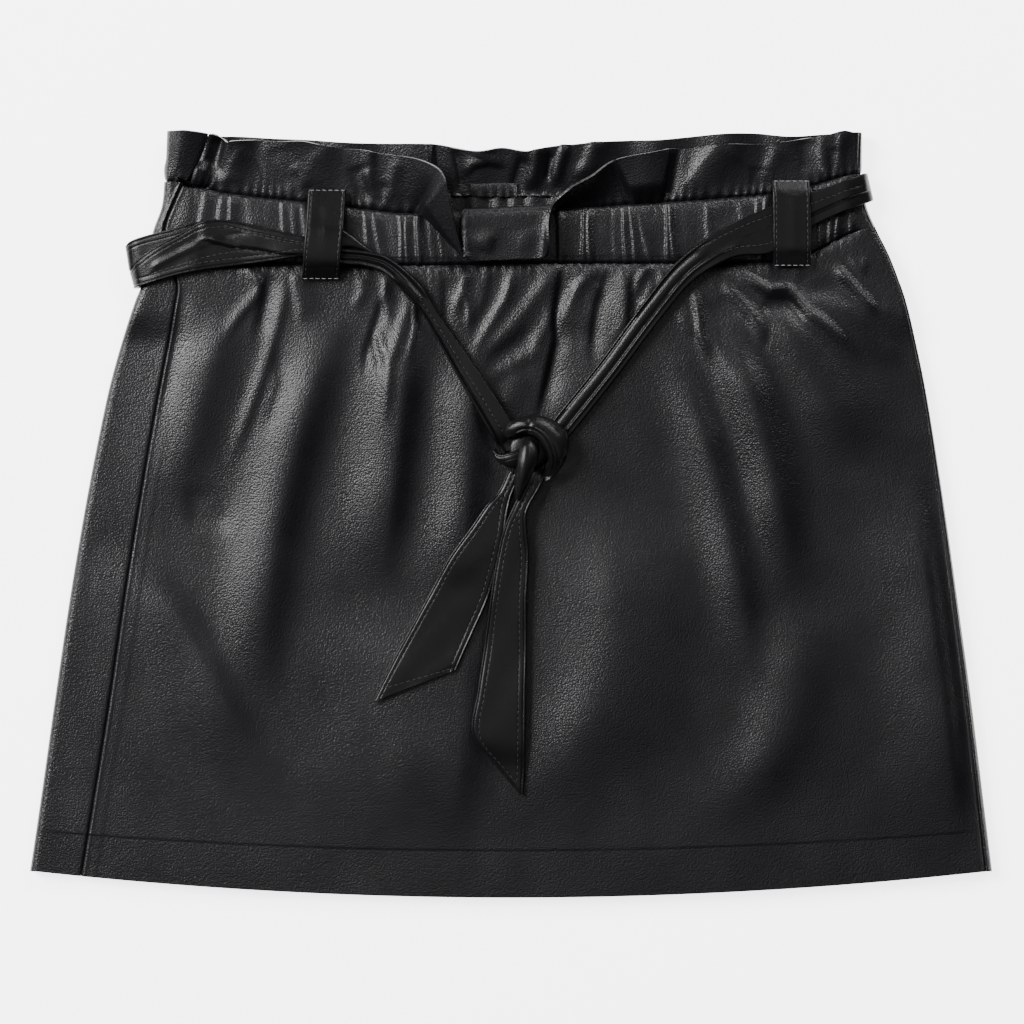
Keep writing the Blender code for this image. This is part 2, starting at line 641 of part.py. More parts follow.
def front_columns(crests, right_turn):
    """Columns across the front, on each crest and between, and round to the right seam."""
    start, end = ring_point(("front", 0.0), 1.5).x, ring_point(("front", 1.0), 1.5).x
    inside = [start] + [x for x in crests if start + 3.0 < x < end - 3.0] + [end]
    shares = [(x - start) / (end - start) for x in with_middles(inside)]
    return [("front", share) for share in shares] + [("right", degrees) for degrees in right_turn]


def back_columns(count, wrap_count):
    """Columns from the right seam under the back, round the left fold and up to the left seam."""
    seam_turn = math.degrees(SEAM_GAP / (BODY_DEPTH / 2))
    right = [("right", d) for d in (RIGHT_SEAM_DEG - seam_turn, 50.0, 25.0, 0.0, -30.0, -60.0)]
    back = [("back", i / count) for i in range(count + 1)]
    left = [("left", d) for d in (240.0, 210.0, 180.0, 150.0, 120.0)]
    wrap = [("wrap", i / wrap_count) for i in range(wrap_count + 1)]
    return right + back + left + wrap


def build():
    clear_scene()
    collection = bpy.data.collections.new("leather_mini_skirt")
    bpy.context.scene.collection.children.link(collection)

    right_turn = (76.0, 67.0, RIGHT_SEAM_DEG)
    gathered = front_columns([gather.x for gather in GATHERS], right_turn)
    ruffled = front_columns([station.x for station in FRONT_FRILL], right_turn)
    body_top = 1.0 - SEAM_GAP / 2 / (table_value(WAIST, 0.0, "lower") - HEM_Y)
    band_edge = SEAM_GAP / 2 / (table_value(WAIST, 0.0, "front") - table_value(WAIST, 0.0, "lower"))
    body_rows = [body_top * (1.0 - (i / BODY_ROWS) ** 1.5) for i in range(BODY_ROWS, -1, -1)]
    band_rows = [blend(1.0 + band_edge, 2.0 - band_edge, i / BAND_ROWS) for i in range(BAND_ROWS + 1)]
    frill_rows = [i / FRILL_ROWS for i in range(FRILL_ROWS + 1)]

    add_sheet("skirt_front", ring_point, gathered, body_rows, collection)
    add_sheet("skirt_back", ring_point, back_columns(18, 4), body_rows, collection)
    add_sheet("waistband_front", ring_point, gathered, band_rows, collection)
    add_sheet("waistband_back", ring_point, back_columns(18, 4), band_rows, collection)
    add_sheet("frill_front", frill_point, ruffled, frill_rows, collection)
    add_sheet("frill_back", frill_point, back_columns(46, 4), frill_rows, collection)

    tab_columns = [blend(TAB_FROM_X, TAB_TO_X, i / TAB_COLUMNS) for i in range(TAB_COLUMNS + 1)]
    add_sheet("neck_tab", tab_point, tab_columns, TAB_ROWS, collection, TAB_THICK)

    add_loop("belt_loop_left", LEFT_LOOP, collection)
    add_loop("belt_loop_right", RIGHT_LOOP, collection)
    add_strap("belt_left_turn", BELT_LEFT_TURN, collection)
    add_strap("belt_back", BELT_BACK, collection)
    add_strap("belt_right_turn", BELT_RIGHT_TURN, collection)
    add_strap("belt_left_front", BELT_LEFT_FRONT, collection)
    add_strap("belt_right_front", BELT_RIGHT_FRONT, collection)
    add_strap("belt_tail_left", TAIL_LEFT, collection)
    add_strap("belt_tail_right", TAIL_RIGHT, collection)
    add_knot(collection)


build()
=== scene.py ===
"""Dresses a gathered leather mini skirt that lies flat, front up: cloth, belt, stitching and a studio.

Tables and surface functions work in millimetres; X runs across, Y from hem to waist and Z up.
"""
import math
from collections import namedtuple

import bmesh
import bpy
import numpy as np
from mathutils import Matrix, Vector


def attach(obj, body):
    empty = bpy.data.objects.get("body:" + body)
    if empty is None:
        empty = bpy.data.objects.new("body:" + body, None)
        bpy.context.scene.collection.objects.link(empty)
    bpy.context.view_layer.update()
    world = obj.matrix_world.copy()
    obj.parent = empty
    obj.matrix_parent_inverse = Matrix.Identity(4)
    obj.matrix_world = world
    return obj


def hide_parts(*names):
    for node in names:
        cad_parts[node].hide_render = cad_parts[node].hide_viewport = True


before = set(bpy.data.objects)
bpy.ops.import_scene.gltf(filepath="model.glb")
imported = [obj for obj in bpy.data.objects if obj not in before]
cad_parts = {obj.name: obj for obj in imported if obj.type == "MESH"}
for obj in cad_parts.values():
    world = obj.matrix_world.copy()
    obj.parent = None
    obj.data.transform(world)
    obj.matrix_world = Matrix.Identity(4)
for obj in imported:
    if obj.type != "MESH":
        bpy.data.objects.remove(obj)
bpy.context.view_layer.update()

bl_info = {
    "name": "Leather mini skirt",
    "version": (1, 0, 0),
    "blender": (4, 5, 0),
    "location": "View3D > Sidebar > Skirt",
    "description": "Makes the cloth, belt and stitching of a gathered leather mini skirt",
    "category": "Add Mesh",
}

MM = 0.001
BODY = "root"


def table(kind, *rows):
    return tuple(kind(*row) for row in rows)


# ---------------------------------------------------------------------------
# Form of the skirt: the same sizes as its solids
# ---------------------------------------------------------------------------
HALF_HEM = 250.0
HEM_Y = -200.0
HEM_BOW = 14.0          # the hem runs this much higher at the sides
BODY_DEPTH = 7.4        # as it lies, from the surface to the front
BAND_DEPTH = 8.0
BAND_LIFT = 2.6         # the waistband lies this far off the surface
LIFT_FROM = 86.0        # between these heights the cloth rises to it
LIFT_TO = 106.0
BAND_PUFF = 1.0         # the band's middle stands this proud of its seams
RIGHT_SEAM_DEG = 62.0   # where the right seam is round the right fold
BODY_SEAM_DEG = (86.0, 40.0)    # and where it is below the band: at the hem, at the band
EDGE_FADE = 12.0        # relief dies away this near the side folds
REST_GAP = 0.4          # between a strap and the cloth that it rests on
SEAM_SLIT = 0.04        # what is left open between two sewn pieces

# The sides at a height: the left fold, the left seam on the front and the right fold
Side = namedtuple("Side", "y left seam right")
SIDES = table(
    Side,
    (-187, -250.5, -223.6, 250.5), (-150, -245, -217.5, 246), (-97, -237.5, -209, 239.5),
    (-45, -229.8, -201.3, 232.4), (7, -221, -193, 225), (59, -210.6, -184, 216.8),
    (85, -203.8, -179, 211.6), (110, -195.5, -174.5, 205.4), (120, -191.5, -173.5, 202),
    (134, -189, -178, 196.5), (147, -186, -180, 190), (160, -181.5, -175.5, 184.6),
    (178, -180, -167.5, 182),
)

# The waistband's lower seam, and its upper seam on the front and on the back
Waist = namedtuple("Waist", "x lower front back")
WAIST = table(
    Waist,
    (-191, 133, 173, 173), (-168, 130.5, 171, 171), (-150, 129.5, 166.5, 169), (-111, 129, 162, 167),
    (-85, 129, 159, 166), (-50, 128.5, 155.5, 165), (18, 129.5, 157.5, 164.6),
    (61, 129.5, 160.2, 165.5), (127, 130, 165, 168), (150, 132, 168.5, 170), (174, 144, 175, 175),
    (198, 153, 178, 178),
)

# Long soft folds of the body: a curve through three places from the top down, the rise and both flanks
Fold = namedtuple("Fold", "top_x top_y mid_x mid_y low_x low_y height left right")
FOLDS = table(
    Fold,
    (-148, 111, -163, 54, -177, -4, 2.4, 14, 12), (-199, -14, -164, -71, -130, -149, 3, 24, 10),
    (-87, 116, -118, 12, -133, -118, 5.5, 19, 12), (-53, 111, -60, 33, -70, -45, 5.5, 20, 9),
    (-22, 95, -23, 17, -31, -56, 4, 15, 9), (-26, -40, -26, -108, -37, -180, 4, 60, 14),
    (46, 7, 55, -71, 4, -170, 4.5, 25, 34), (83, 90, 109, 7, 123, -97, 4, 12, 9),
    (104, 111, 135, 22, 141, -56, 5.5, 14, 12), (142, -45, 139, -118, 106, -170, 3.5, 20, 18),
    (134, 116, 157, 69, 176, 22, 3.5, 15, 18), (156, 119, 180, 95, 202, 73, 2.5, 12, 14),
    (205, 33, 224, -76, 224, -186, 4.2, 24, 14),
)

# Gathers run down from the waistband: x at the seam and at the lower end
Gather = namedtuple("Gather", "x low_x length height")
GATHERS = table(
    Gather,
    (-179, -183, 25, 1.6), (-167, -171, 24, 1.6), (-158, -161, 30, 2), (-148, -149, 30, 1.8),
    (-137, -139, 30, 2), (-127, -128, 25, 2.5), (-117, -119, 40, 2.8), (-106, -110, 40, 2.4),
    (-95, -98, 30, 2), (-84, -87, 35, 2.5), (-74, -78, 45, 2.8), (-63, -68, 55, 3), (-52, -54, 45, 2.8),
    (-40, -38, 45, 2.6), (-27, -29, 45, 2.6), (-11, -22, 55, 2.6), (5, -13, 65, 2.6), (21, 12, 75, 3),
    (34, 26, 55, 2.8), (46, 41, 45, 3), (59, 57, 40, 2.8), (70, 66, 45, 2.8), (81, 79, 40, 2.6),
    (93, 95, 40, 2.2), (104, 109, 45, 2.4), (117, 129, 50, 2.4), (132, 150, 50, 2.4),
    (148, 166, 40, 2.2), (162, 177, 35, 2.2), (174, 191, 35, 2),
)
GATHER_WIDTH = 4.4      # at the seam, and how much wider a gather is at its lower end
GATHER_SPREAD = 4.0
SEAM_PINCH = 0.35       # share of its height that a gather loses at the seams

# The frill: how far it leans to the right, the angle that it stands at and its length
Frill = namedtuple("Frill", "x lean angle length")
FRONT_FRILL = table(
    Frill,
    (-181, 2, 6, 26.3), (-175, 7, 18, 27), (-168.5, 15, 10, 25), (-161.7, 12, 4, 24.5),
    (-155.5, 8, 15, 25), (-148.2, 4, 16, 27), (-137, 5, 6, 28.5), (-128, 3, 7, 29), (-118, 1, 10, 30),
    (-109.7, 2, 12, 31), (-100.4, 2.5, 11, 30), (-88.9, 1.5, 8, 29.5), (-80, 2, 10, 30),
    (-74.4, 1.5, 13, 30), (-69.2, 1, 11, 29.5), (-62.9, 2, 14, 29.5), (-55.5, 6, 22, 29),
    (-50, 12.5, 44, 28), (-45.2, 13, 60, 25), (-40, 10, 90, 24), (-34.8, 7, 130, 26),
    (-29.1, 4, 165, 29), (-23.4, 2, 180, 30.5), (-10, 0, 184, 30.5), (3.6, 0, 184, 30.5),
    (15, 1, 182, 30.5), (20.3, -0.5, 166, 29), (24.4, -5, 128, 17), (29.1, -6, 82, 11),
    (35.9, -4.5, 58, 15.5), (44.7, -2, 40, 19), (52.5, -0.5, 20, 23), (60.8, 1, 12, 24.6),
    (69.7, 3, 10, 25.8), (78.5, 5, 8, 27.5), (88, 4, 3, 27), (98.3, 5, 10, 28), (109.7, 5, 13, 28),
    (120, 4, 9, 26.8), (127.5, 3, 7, 26.2), (135, 1.5, 9, 26), (143, 0, 8, 25.5), (153, 0, 3, 25),
    (163, 1, 8, 24), (171, 1, 11, 24), (178, 0, 8, 21.7),
)
BACK_FRILL = table(
    Frill,
    (-177, 1, 3, 26.5), (-160, 1, 8, 27), (-142, 1, 2, 28), (-124, 1, 9, 28), (-104, 0, 2, 28),
    (-86, 0, 8, 27.5), (-68, 0, 3, 27.5), (-50, 0, 8, 28), (-38, 0, 11, 27.8), (-28, -0.5, 15, 26.4),
    (-17, 0, 18, 25), (-5, 0, 14, 26.6), (8, 0, 18, 25.2), (20, 0, 15, 27.2), (32, 0, 12, 28),
    (46, 0, 12, 29), (60, 1, 4, 29), (76, 1, 9, 29), (94, 1, 3, 30), (112, 1, 8, 31), (128, 1, 3, 30),
    (144, 0, 7, 27.5), (160, 0, 2, 25.5), (178, 0, 3, 21.7),
)
FRILL_TURN = 0.3        # it has turned to its angle after this share of its length
FRILL_STEPS = 16

# ---------------------------------------------------------------------------
# Fine form, pressed into the cloth here
# ---------------------------------------------------------------------------
# Creases: a path over the cloth from the waist down, how far the cloth rises along it (below zero, sinks)
# and how wide the crease is on its left and on its right
Crease = namedtuple("Crease", "path height left right")
CREASES = table(
    Crease,
    (((27, 127), (23, 102), (24, 90), (21, 77), (17, 59), (13, 48)), -2.8, 1.8, 7),
    (((1, 127), (-3, 112), (-10, 100), (-21, 82)), 1.22, 1.8, 3.2),
    (((24, 126), (14, 115), (8, 106), (0, 96), (-18, 79)), 1.08, 3.5, 4.5),
    (((22, 106), (18, 96), (10, 84)), 0.72, 3, 3),
    (((17, 84), (8, 83), (0, 78), (-14, 70)), 0.94, 1.6, 3.6),
    (((12, 96), (2, 88), (-14, 78)), -0.85, 2.6, 6.8), (((6, 74), (0, 62), (0, 52)), 0.86, 6, 8),
    (((42, 127), (33, 116), (27, 104), (25, 92)), 1.3, 1.6, 4),
    (((36, 100), (34, 82), (26, 62)), -0.85, 5, 13),
    (((50, 122), (45, 108), (43, 96), (42, 78)), -1.36, 1.8, 4.7),
    (((42, 122), (47, 118), (51, 123)), -0.77, 1.6, 4.2),
    (((60, 127), (60, 112), (59, 97), (52, 86)), 1.37, 6, 1.6),
    (((64, 122), (64, 98)), -0.85, 1.6, 4.2), (((71, 130), (66, 121), (63, 112)), 1.15, 1.5, 2.6),
    (((75, 121), (71, 112), (66, 102)), 0.72, 2, 2.6), (((79, 124), (77, 112)), 0.86, 2, 1.2),
    (((-22, 126), (-25, 117), (-30, 103)), 0.86, 2, 2.6),
    (((-25, 117), (-22, 107), (-22, 95)), 0.72, 1.6, 3),
    (((-34, 122), (-34, 104), (-38, 92)), -0.85, 2, 5.2),
    (((-8, 126), (-12, 108), (-22, 92)), -0.77, 2.4, 6.2),
    (((-50, 113), (-50, 94), (-54, 78)), 0.86, 1.4, 1.8),
    (((-65, 123), (-66, 111), (-63, 99)), 0.94, 1.5, 3),
    (((-54, 117), (-53, 107), (-60, 86), (-63, 79), (-66, 44)), 1.15, 3.5, 3),
    (((-70, 95), (-67, 86), (-64, 79)), 0.79, 2, 2),
    (((-66, 112), (-71, 96), (-75, 84), (-76, 72)), -1.1, 1.6, 4.2),
    (((-72, 92), (-70, 82), (-68, 73)), -0.77, 1.3, 3.4),
    (((-78, 123), (-77, 115), (-82, 106)), 0.72, 2.4, 3),
    (((-113, 126), (-112, 118), (-108, 98)), 1.08, 1.8, 7),
    (((-119, 122), (-118, 113), (-121, 100), (-125, 84), (-135, 55), (-146, 26)), 1.01, 4, 3),
    (((-126, 125), (-128, 108), (-132, 90)), -1.53, 2.4, 6.2),
    (((-138, 128), (-130, 119), (-131, 114), (-140, 104), (-150, 90)), 1.08, 3, 2.6),
    (((-122, 84), (-118, 68), (-128, 40)), -0.77, 3, 7.8),
    (((-170, 118), (-174, 90), (-182, 50)), -0.77, 2, 5.2),
    (((-187, 118), (-192, 108), (-196, 98)), 0.86, 2, 3),
    (((-166, 14), (-163, -2), (-142, -6)), -1.02, 5, 13), (((88, 104), (91, 98), (96, 93)), 0.86, 3, 3),
    (((95, 116), (97, 104), (98, 92), (103, 80)), 1.6, 1.8, 3),
    (((110, 120), (116, 112), (125, 103), (133, 88)), 1.4, 3, 3),
    (((134, 95), (130, 84)), -0.42, 0.8, 2.1), (((152, 77), (149, 71)), -0.26, 0.8, 0.8),
    (((104, 112), (110, 92), (122, 70)), -0.77, 4, 10.4),
    (((118, 125), (126, 121), (134, 116), (145, 116), (154, 105), (163, 99), (180, 83)), 2.4, 3.6, 1.7),
    (((130, 106), (146, 108), (152, 98)), -1.6, 4, 5),
    (((158, 122), (164, 108), (180, 95), (196, 84)), -1.02, 5, 13),
    (((169, 128), (175, 121), (186, 109), (192, 104)), 2.2, 3.2, 1.7),
    (((192, 104), (202, 109)), 0.58, 2, 2), (((176, 132), (182, 126), (185, 134)), 0.72, 1.5, 1.5),
    (((150, 124), (153, 116), (160, 110)), -0.68, 2, 5.2),
)

# Folds of the frill, over where it lies
FRILL_CREASES = table(
    Crease,
    (((-177, 199), (-172, 189), (-166, 180), (-160, 173)), 0.96, 3, 4),
    (((-154, 196), (-154, 182), (-153, 172)), -2.04, 3, 7.8),
    (((-138, 190), (-146, 178), (-148, 169)), 0.96, 3, 9),
    (((-135, 191), (-127, 171)), -0.18, 0.8, 0.8),
    (((-122, 190), (-118, 174), (-116, 167)), -0.54, 6, 15.6), (((-113, 181), (-105, 168)), 0.6, 3, 4),
    (((-90, 192), (-102, 182), (-107, 170)), 0.78, 4, 12),
    (((-82, 180), (-79, 170), (-76, 160)), -0.96, 3, 7.8),
    (((-76, 179), (-73, 170), (-69, 159)), 0.9, 2.5, 4), (((-68, 160), (-65, 172)), -0.72, 2, 5.2),
    (((-58, 184), (-62, 172), (-64, 158)), 0.78, 3, 4),
    (((110, 193), (98, 180), (90, 167)), 1.02, 3, 9),
    (((118, 184), (112, 174), (108, 166)), -0.6, 6, 15.6),
    (((140, 191), (134, 180), (131, 171)), 0.72, 3, 5), (((128, 180), (126, 168)), -0.6, 3, 7.8),
    (((152, 194), (153, 176)), -0.72, 3, 7.8), (((160, 196), (161, 183), (165, 171)), 0.66, 1.6, 3),
    (((171, 198), (170, 184), (170, 174)), 0.78, 1.8, 3), (((166, 190), (167, 174)), -0.6, 2, 5.2),
)

# Folds of the back frill, where it shows in the neck
BACK_FRILL_CREASES = table(
    Crease,
    (((-42, 198), (-41, 184), (-41, 176)), 1.5, 1.2, 1.2),
    (((-24, 176), (-20, 181), (-12, 183), (-3, 181)), 1.35, 1.4, 3),
    (((-30, 190), (-27, 176), (-26, 167)), -1.5, 1.6, 4), (((-14, 192), (-17, 184)), 1.2, 3, 4),
    (((14, 192), (12, 180), (9, 168)), 1.95, 2, 4), (((6, 186), (2, 174), (1, 167)), -1.35, 2, 4),
    (((28, 192), (24, 180), (22, 170)), 1.8, 1.6, 3), (((20, 188), (18, 172)), -1.35, 1.6, 3),
    (((44, 194), (40, 182), (34, 174)), 1.5, 3, 5),
)

# Folds of the flap that hangs down over the waistband in the neck
FLAP_CREASES = table(
    Crease,
    (((-10, 156), (-12, 144), (-14, 134)), 1.4, 8, 4), (((-2, 158), (-3, 144)), -0.7, 2, 4),
    (((13, 158), (9, 146), (6, 134)), 0.6, 4, 6),
)

# The fold that stands up right of the neck: x of its left and right edge, at the seam and at the free edge
LAP_SEAM = (62.0, 79.5)
LAP_TOP = (51.5, 83.5)
LAP_RISE = 6.5

# Left of the neck the flap's corner is turned up: where it leaves the seam, where it is folded and where its
# free edge lies, at the corner's left and right end, and how high above the seam its parts are
CORNER_FROM_X = -48.5
CORNER_TO_X = -26.5
CORNER_FOLD = ((-48.5, 155.5), (-26.0, 131.5))
CORNER_EDGE = ((-34.0, 171.0), (-25.0, 133.5))
CORNER_UNDER = (2.4, 5.0)
CORNER_TOP = (20.0, 9.0)
CORNER_ROLL = 3.2       # the fold itself rises this much

# The frill's left end is pinched into a curl
CURL_X = -168.0
CURL_WIDTH = 8.0

# Narrow pleats of the waistband, from its lower to its upper seam
Ridge = namedtuple("Ridge", "low_x top_x height width")
BAND_RIDGES = table(
    Ridge,
    (-165, -158, 0.7, 1.6), (-156, -149, 0.84, 1.4), (-146, -146, 1.36, 1), (-133, -136, 0.42, 3),
    (-118, -118.5, 0.7, 1), (-111, -113, 0.5, 1.6), (-105, -108, 0.63, 1.4), (-83, -86, 0.5, 1.8),
    (-75, -76, 0.8, 1), (-67, -71, 0.7, 1.6), (-57, -58, 0.9, 1), (-54, -54, 0.9, 0.9),
    (-48.5, -48.5, 1.53, 1.1), (-40, -43, 0.3, 1.2), (-35, -38, 0.3, 1), (-27, -29, 0.3, 1.5),
    (12, 12, 0.51, 2), (25, 24, 1.02, 1.4), (37, 37, 1.27, 0.8), (40.5, 40.5, 1.27, 0.9),
    (55, 53, 0.42, 2.2), (59.5, 58.5, 1.27, 0.9), (63.8, 62, 1.1, 1), (72, 66, 0.59, 1.6),
    (81, 80, 1.27, 0.9), (84.5, 82.6, 0.94, 0.9), (103, 102, 0.51, 1.6), (120, 119, 0.51, 2),
    (127, 128, 1.1, 0.9), (130, 131.5, 1.02, 0.9), (145, 143, 0.68, 1.6), (160, 161, 0.85, 1.1),
    (164.5, 166, 1.02, 1), (168.7, 171, 1.02, 1), (176, 177, 0.94, 1.2),
)

HEM_STITCH = 24.4       # height of the hem's stitch line above its edge, in the middle
HEM_STITCH_DROP = 3.1   # and how much nearer it runs at the sides
ALLOWANCE_LINE = 7.5    # a pressed seam allowance shows this far from the left seam

# Rows of the cloth's mesh, and its columns across the front and across the back. The body panels have more
# rows where the hem is stitched and towards the gathers.
PANEL_ROWS = 92
PANEL_TOP = 0.9997      # the panels stop this near the waistband's seam
HEM_ROWS = (0.0608, 0.0785, 0.0016)     # first, past the last, and step
HEM_ROWS_CLEAR = (0.058, 0.081)         # the even rows leave this out for them
PANEL_COLUMNS = (400, 90)
BAND_ROWS = 34
BAND_COLUMNS = (900, 300)
FRILL_ROWS = 32
FRILL_COLUMNS = (620, 420)

# The bare tab in the neck
TAB_FROM_X = -20.8
TAB_TO_X = 3.1
TAB_WALL = 0.8
TAB_GAP = 0.3

# ---------------------------------------------------------------------------
# Straps: left edge and right edge at each station, thickness, and the middle's height if it is set
# ---------------------------------------------------------------------------
FLAT = 2.0              # thickness of the belt, and of the belt folded lengthwise
FOLDED = 3.6
ON_FLOOR = 1.0          # height of a strap that lies on the surface, and in the knot
KNOT_BED = 11.6

Strap = namedtuple("Strap", "lower_x lower_y upper_x upper_y thick z", defaults=(FLAT, None))
BELT_LEFT_TURN = table(
    Strap,
    (-96.8, 131, -96.8, 139.6, FOLDED), (-108.7, 132.4, -108.7, 143.8, FOLDED),
    (-119, 131, -119, 146, 3), (-129, 129.6, -130.5, 148.6, 2.4), (-142, 128, -146.6, 151.8),
    (-159, 125.8, -160, 151), (-173, 123, -170.5, 145.4), (-185, 119.6, -183.6, 138.4, FLAT, 14.2),
    (-192.5, 117.4, -193.6, 131.4, FLAT, 12), (-195.2, 116.6, -197.6, 127, FLAT, 6.8),
    (-192.5, 117, -195.6, 130, FLAT, 2.2), (-185.5, 117.6, -187.5, 139.6, FLAT, ON_FLOOR),
)
LEFT_RETURN = table(
    Strap,
    (-157.6, 149.2, -157.6, 151.6, 1.6), (-166.9, 145.6, -166.9, 150, 1.6),
    (-177.3, 140.4, -177.3, 146.9, 1.6), (-187.7, 134.7, -187.7, 144.4, 1.6, 12.2),
    (-193.4, 130, -195, 142.2, 1.6, 11.4), (-197, 126.4, -198.6, 140.4, 1.6, 9.6),
    (-197.6, 125.6, -199.8, 138.2, 1.6, 6.6), (-195.6, 125, -197.6, 137, 1.6, 3.2),
    (-189.6, 123, -191.4, 137, 1.6, 2),
)
BELT_BACK = table(
    Strap,
    (-184.9, 117.7, -186.9, 139.7, FLAT, ON_FLOOR), (-160, 119, -162, 144, FLAT, ON_FLOOR),
    (-100, 124.5, -103, 151.5, FLAT, ON_FLOOR), (0, 135.2, -3, 162.2, FLAT, ON_FLOOR),
    (100, 147, 97, 171, FLAT, ON_FLOOR), (150, 154, 148, 173.6, FLAT, ON_FLOOR),
    (174, 158.6, 172.4, 175.2, FLAT, ON_FLOOR),
)
BELT_RIGHT_TURN = table(
    Strap,
    (174.6, 158.7, 173, 175.3, FLAT, ON_FLOOR), (183, 160.6, 181.6, 176.2, FLAT, 1.8),
    (187.4, 162, 184.2, 176.4, FLAT, 6.8), (184.6, 160.6, 182.4, 176, FLAT, 12.4),
    (176, 157.6, 175, 173.2, FLAT, 15.4), (166.5, 153.6, 166.5, 169.8), (157, 149, 157, 166.6),
    (145.3, 142, 145.3, 163.4),
)
BELT_LEFT_FRONT = table(
    Strap,
    (-96.4, 131, -96.4, 139.5, FOLDED), (-87.5, 128.8, -87.5, 137.2, FOLDED),
    (-76, 127.8, -73.6, 135.4, FOLDED), (-64.5, 123.2, -62.4, 132, FOLDED),
    (-53.6, 111.3, -46.8, 118.6, FOLDED), (-44.2, 100.4, -35.9, 100.8, FOLDED),
    (-28, 71, -17, 74, FOLDED), (-12, 43, -0.5, 49, FOLDED), (-7, 34.6, 4.8, 40.6, FOLDED, KNOT_BED),
    (-4.6, 30.6, 7.2, 36, FOLDED, KNOT_BED),
)
LOOP_FAN = table(
    Strap,
    (-88.4, 137, -88, 147.2, 2, 16.6), (-83, 137.4, -82.4, 143.8, 2, 16.2),
    (-77.6, 136, -77, 139.6, 1.6, 15.6), (-72.4, 134.2, -71.8, 135.8, 1, 15),
)
BELT_RIGHT_FRONT = table(
    Strap,
    (144.9, 141.8, 144.9, 163.2), (133.4, 134.4, 133.4, 158.6), (118, 133, 116, 150.6, 2.6),
    (106, 128, 100, 141.6, FOLDED), (92.6, 118.6, 84, 128.4, FOLDED), (76, 98.6, 66.4, 106.4, FOLDED),
    (55, 70.6, 45.4, 78, FOLDED), (34.4, 44.6, 24.6, 52.2, FOLDED),
    (25.4, 33.4, 15.6, 41, FOLDED, KNOT_BED),
)
TAIL_LEFT = table(
    Strap,
    (-1.6, 22.4, 4.7, 18.2, FOLDED, KNOT_BED), (-6.8, 11.4, 0.5, 8.3, FOLDED),
    (-13.5, 3.6, -1.6, -0.5, 2.6), (-21.3, -7.8, -3.6, -14), (-32.2, -22.9, -7.3, -29.6),
    (-41.6, -40, -12, -45.2), (-52, -59.3, -18.7, -60.3), (-61.9, -77.5, -25.5, -75.4),
    (-71.8, -97.8, -28.1, -80.9),
)
TAIL_RIGHT = table(
    Strap,
    (14, 34.3, 21.3, 30.2, FOLDED, KNOT_BED), (9.4, 24.4, 18.8, 21.6, FOLDED, KNOT_BED),
    (6, 14.2, 15.6, 14, FOLDED, 14.2), (0.5, 2.6, 8.9, 1.6, FOLDED, 14.6),
    (-4.2, -8.8, 8.3, -8.8, 3, 14), (-7.8, -24.4, 9.4, -22.4, FLAT, 13.4),
    (-10.9, -44.2, 8.3, -44.7, FLAT, 13), (-14, -68.6, 8.3, -68.6), (-17.7, -93, 7.8, -93),
    (-20.3, -114.9, 7.5, -118), (-8.3, -131, 7.3, -132.6), (4, -145.6, 6.6, -146.4),
)

# A mark runs along a strap through (share of its length, share of its width): a fold steps the cloth
# up beyond it, a groove dips it, a ridge raises it, and a stitch is a groove with a row of stitches.
Mark = namedtuple("Mark", "kind path size width")
LEFT_TURN_MARKS = table(
    Mark,
    ("stitch", ((0, 0.45), (0.2, 0.66), (0.42, 0.88)), 0.16, 0.35),
    ("fold", ((0.08, 0.04), (0.28, 0.36), (0.41, 0.42), (0.5, 0.6)), 1.3, 1),
    ("groove", ((0.12, 0.1), (0.28, 0.34), (0.41, 0.4), (0.46, 0.48)), 0.4, 0.6),
    ("stitch", ((0.33, 0.33), (0.41, 0.3), (0.58, 0.23), (0.74, 0.26)), 0.16, 0.35),
    ("ridge", ((0.47, 0.55), (0.6, 0.52), (0.72, 0.45)), 0.7, 2.2),
    ("groove", ((0.36, 0.72), (0.41, 0.66)), 0.4, 0.8),
)
LEFT_FRONT_MARKS = table(
    Mark,
    ("fold", ((0.3, 0.16), (0.55, 0.2), (1, 0.2)), 1.5, 0.9),
    ("groove", ((0.3, 0.14), (0.55, 0.17), (1, 0.17)), 0.5, 0.5),
    ("stitch", ((0.38, 0.46), (1, 0.48)), 0.16, 0.35),
    ("ridge", ((0, 0.42), (0.2, 0.46), (0.36, 0.42)), 0.7, 0.7),
    ("ridge", ((0, 0.8), (0.2, 0.84), (0.36, 0.86)), 0.6, 0.7),
    ("groove", ((0, 0.24), (0.36, 0.24)), 0.7, 0.8), ("groove", ((0, 0.62), (0.36, 0.66)), 0.7, 0.8),
)
RIGHT_FRONT_MARKS = table(
    Mark,
    ("stitch", ((0, 0.2), (0.12, 0.22), (0.22, 0.28)), 0.16, 0.35),
    ("fold", ((0, 0.56), (0.1, 0.54), (0.24, 0.4), (0.45, 0.33), (1, 0.32)), -1.2, 0.9),
    ("ridge", ((0.2, 0.3), (0.45, 0.26), (1, 0.26)), 0.5, 0.8),
    ("stitch", ((0, 0.8), (0.12, 0.8), (0.26, 0.78)), 0.16, 0.35),
    ("groove", ((0.28, 0.84), (1, 0.84)), 0.8, 0.5), ("ridge", ((0.3, 0.6), (1, 0.6)), 0.9, 2.6),
)
RIGHT_TURN_MARKS = table(
    Mark,
    ("groove", ((0.35, 0.36), (1, 0.34)), 0.7, 0.5), ("fold", ((0.35, 0.33), (1, 0.3)), 0.9, 0.9),
    ("stitch", ((0.4, 0.64), (1, 0.66)), 0.16, 0.35),
)
LOOP_MARKS = table(
    Mark,
    ("stitch", ((0, 0.09), (1, 0.09)), 0.1, 0.35), ("stitch", ((0, 0.91), (1, 0.91)), 0.1, 0.35),
    ("ridge", ((0.2, 0.55), (0.8, 0.55)), 0.2, 3),
)
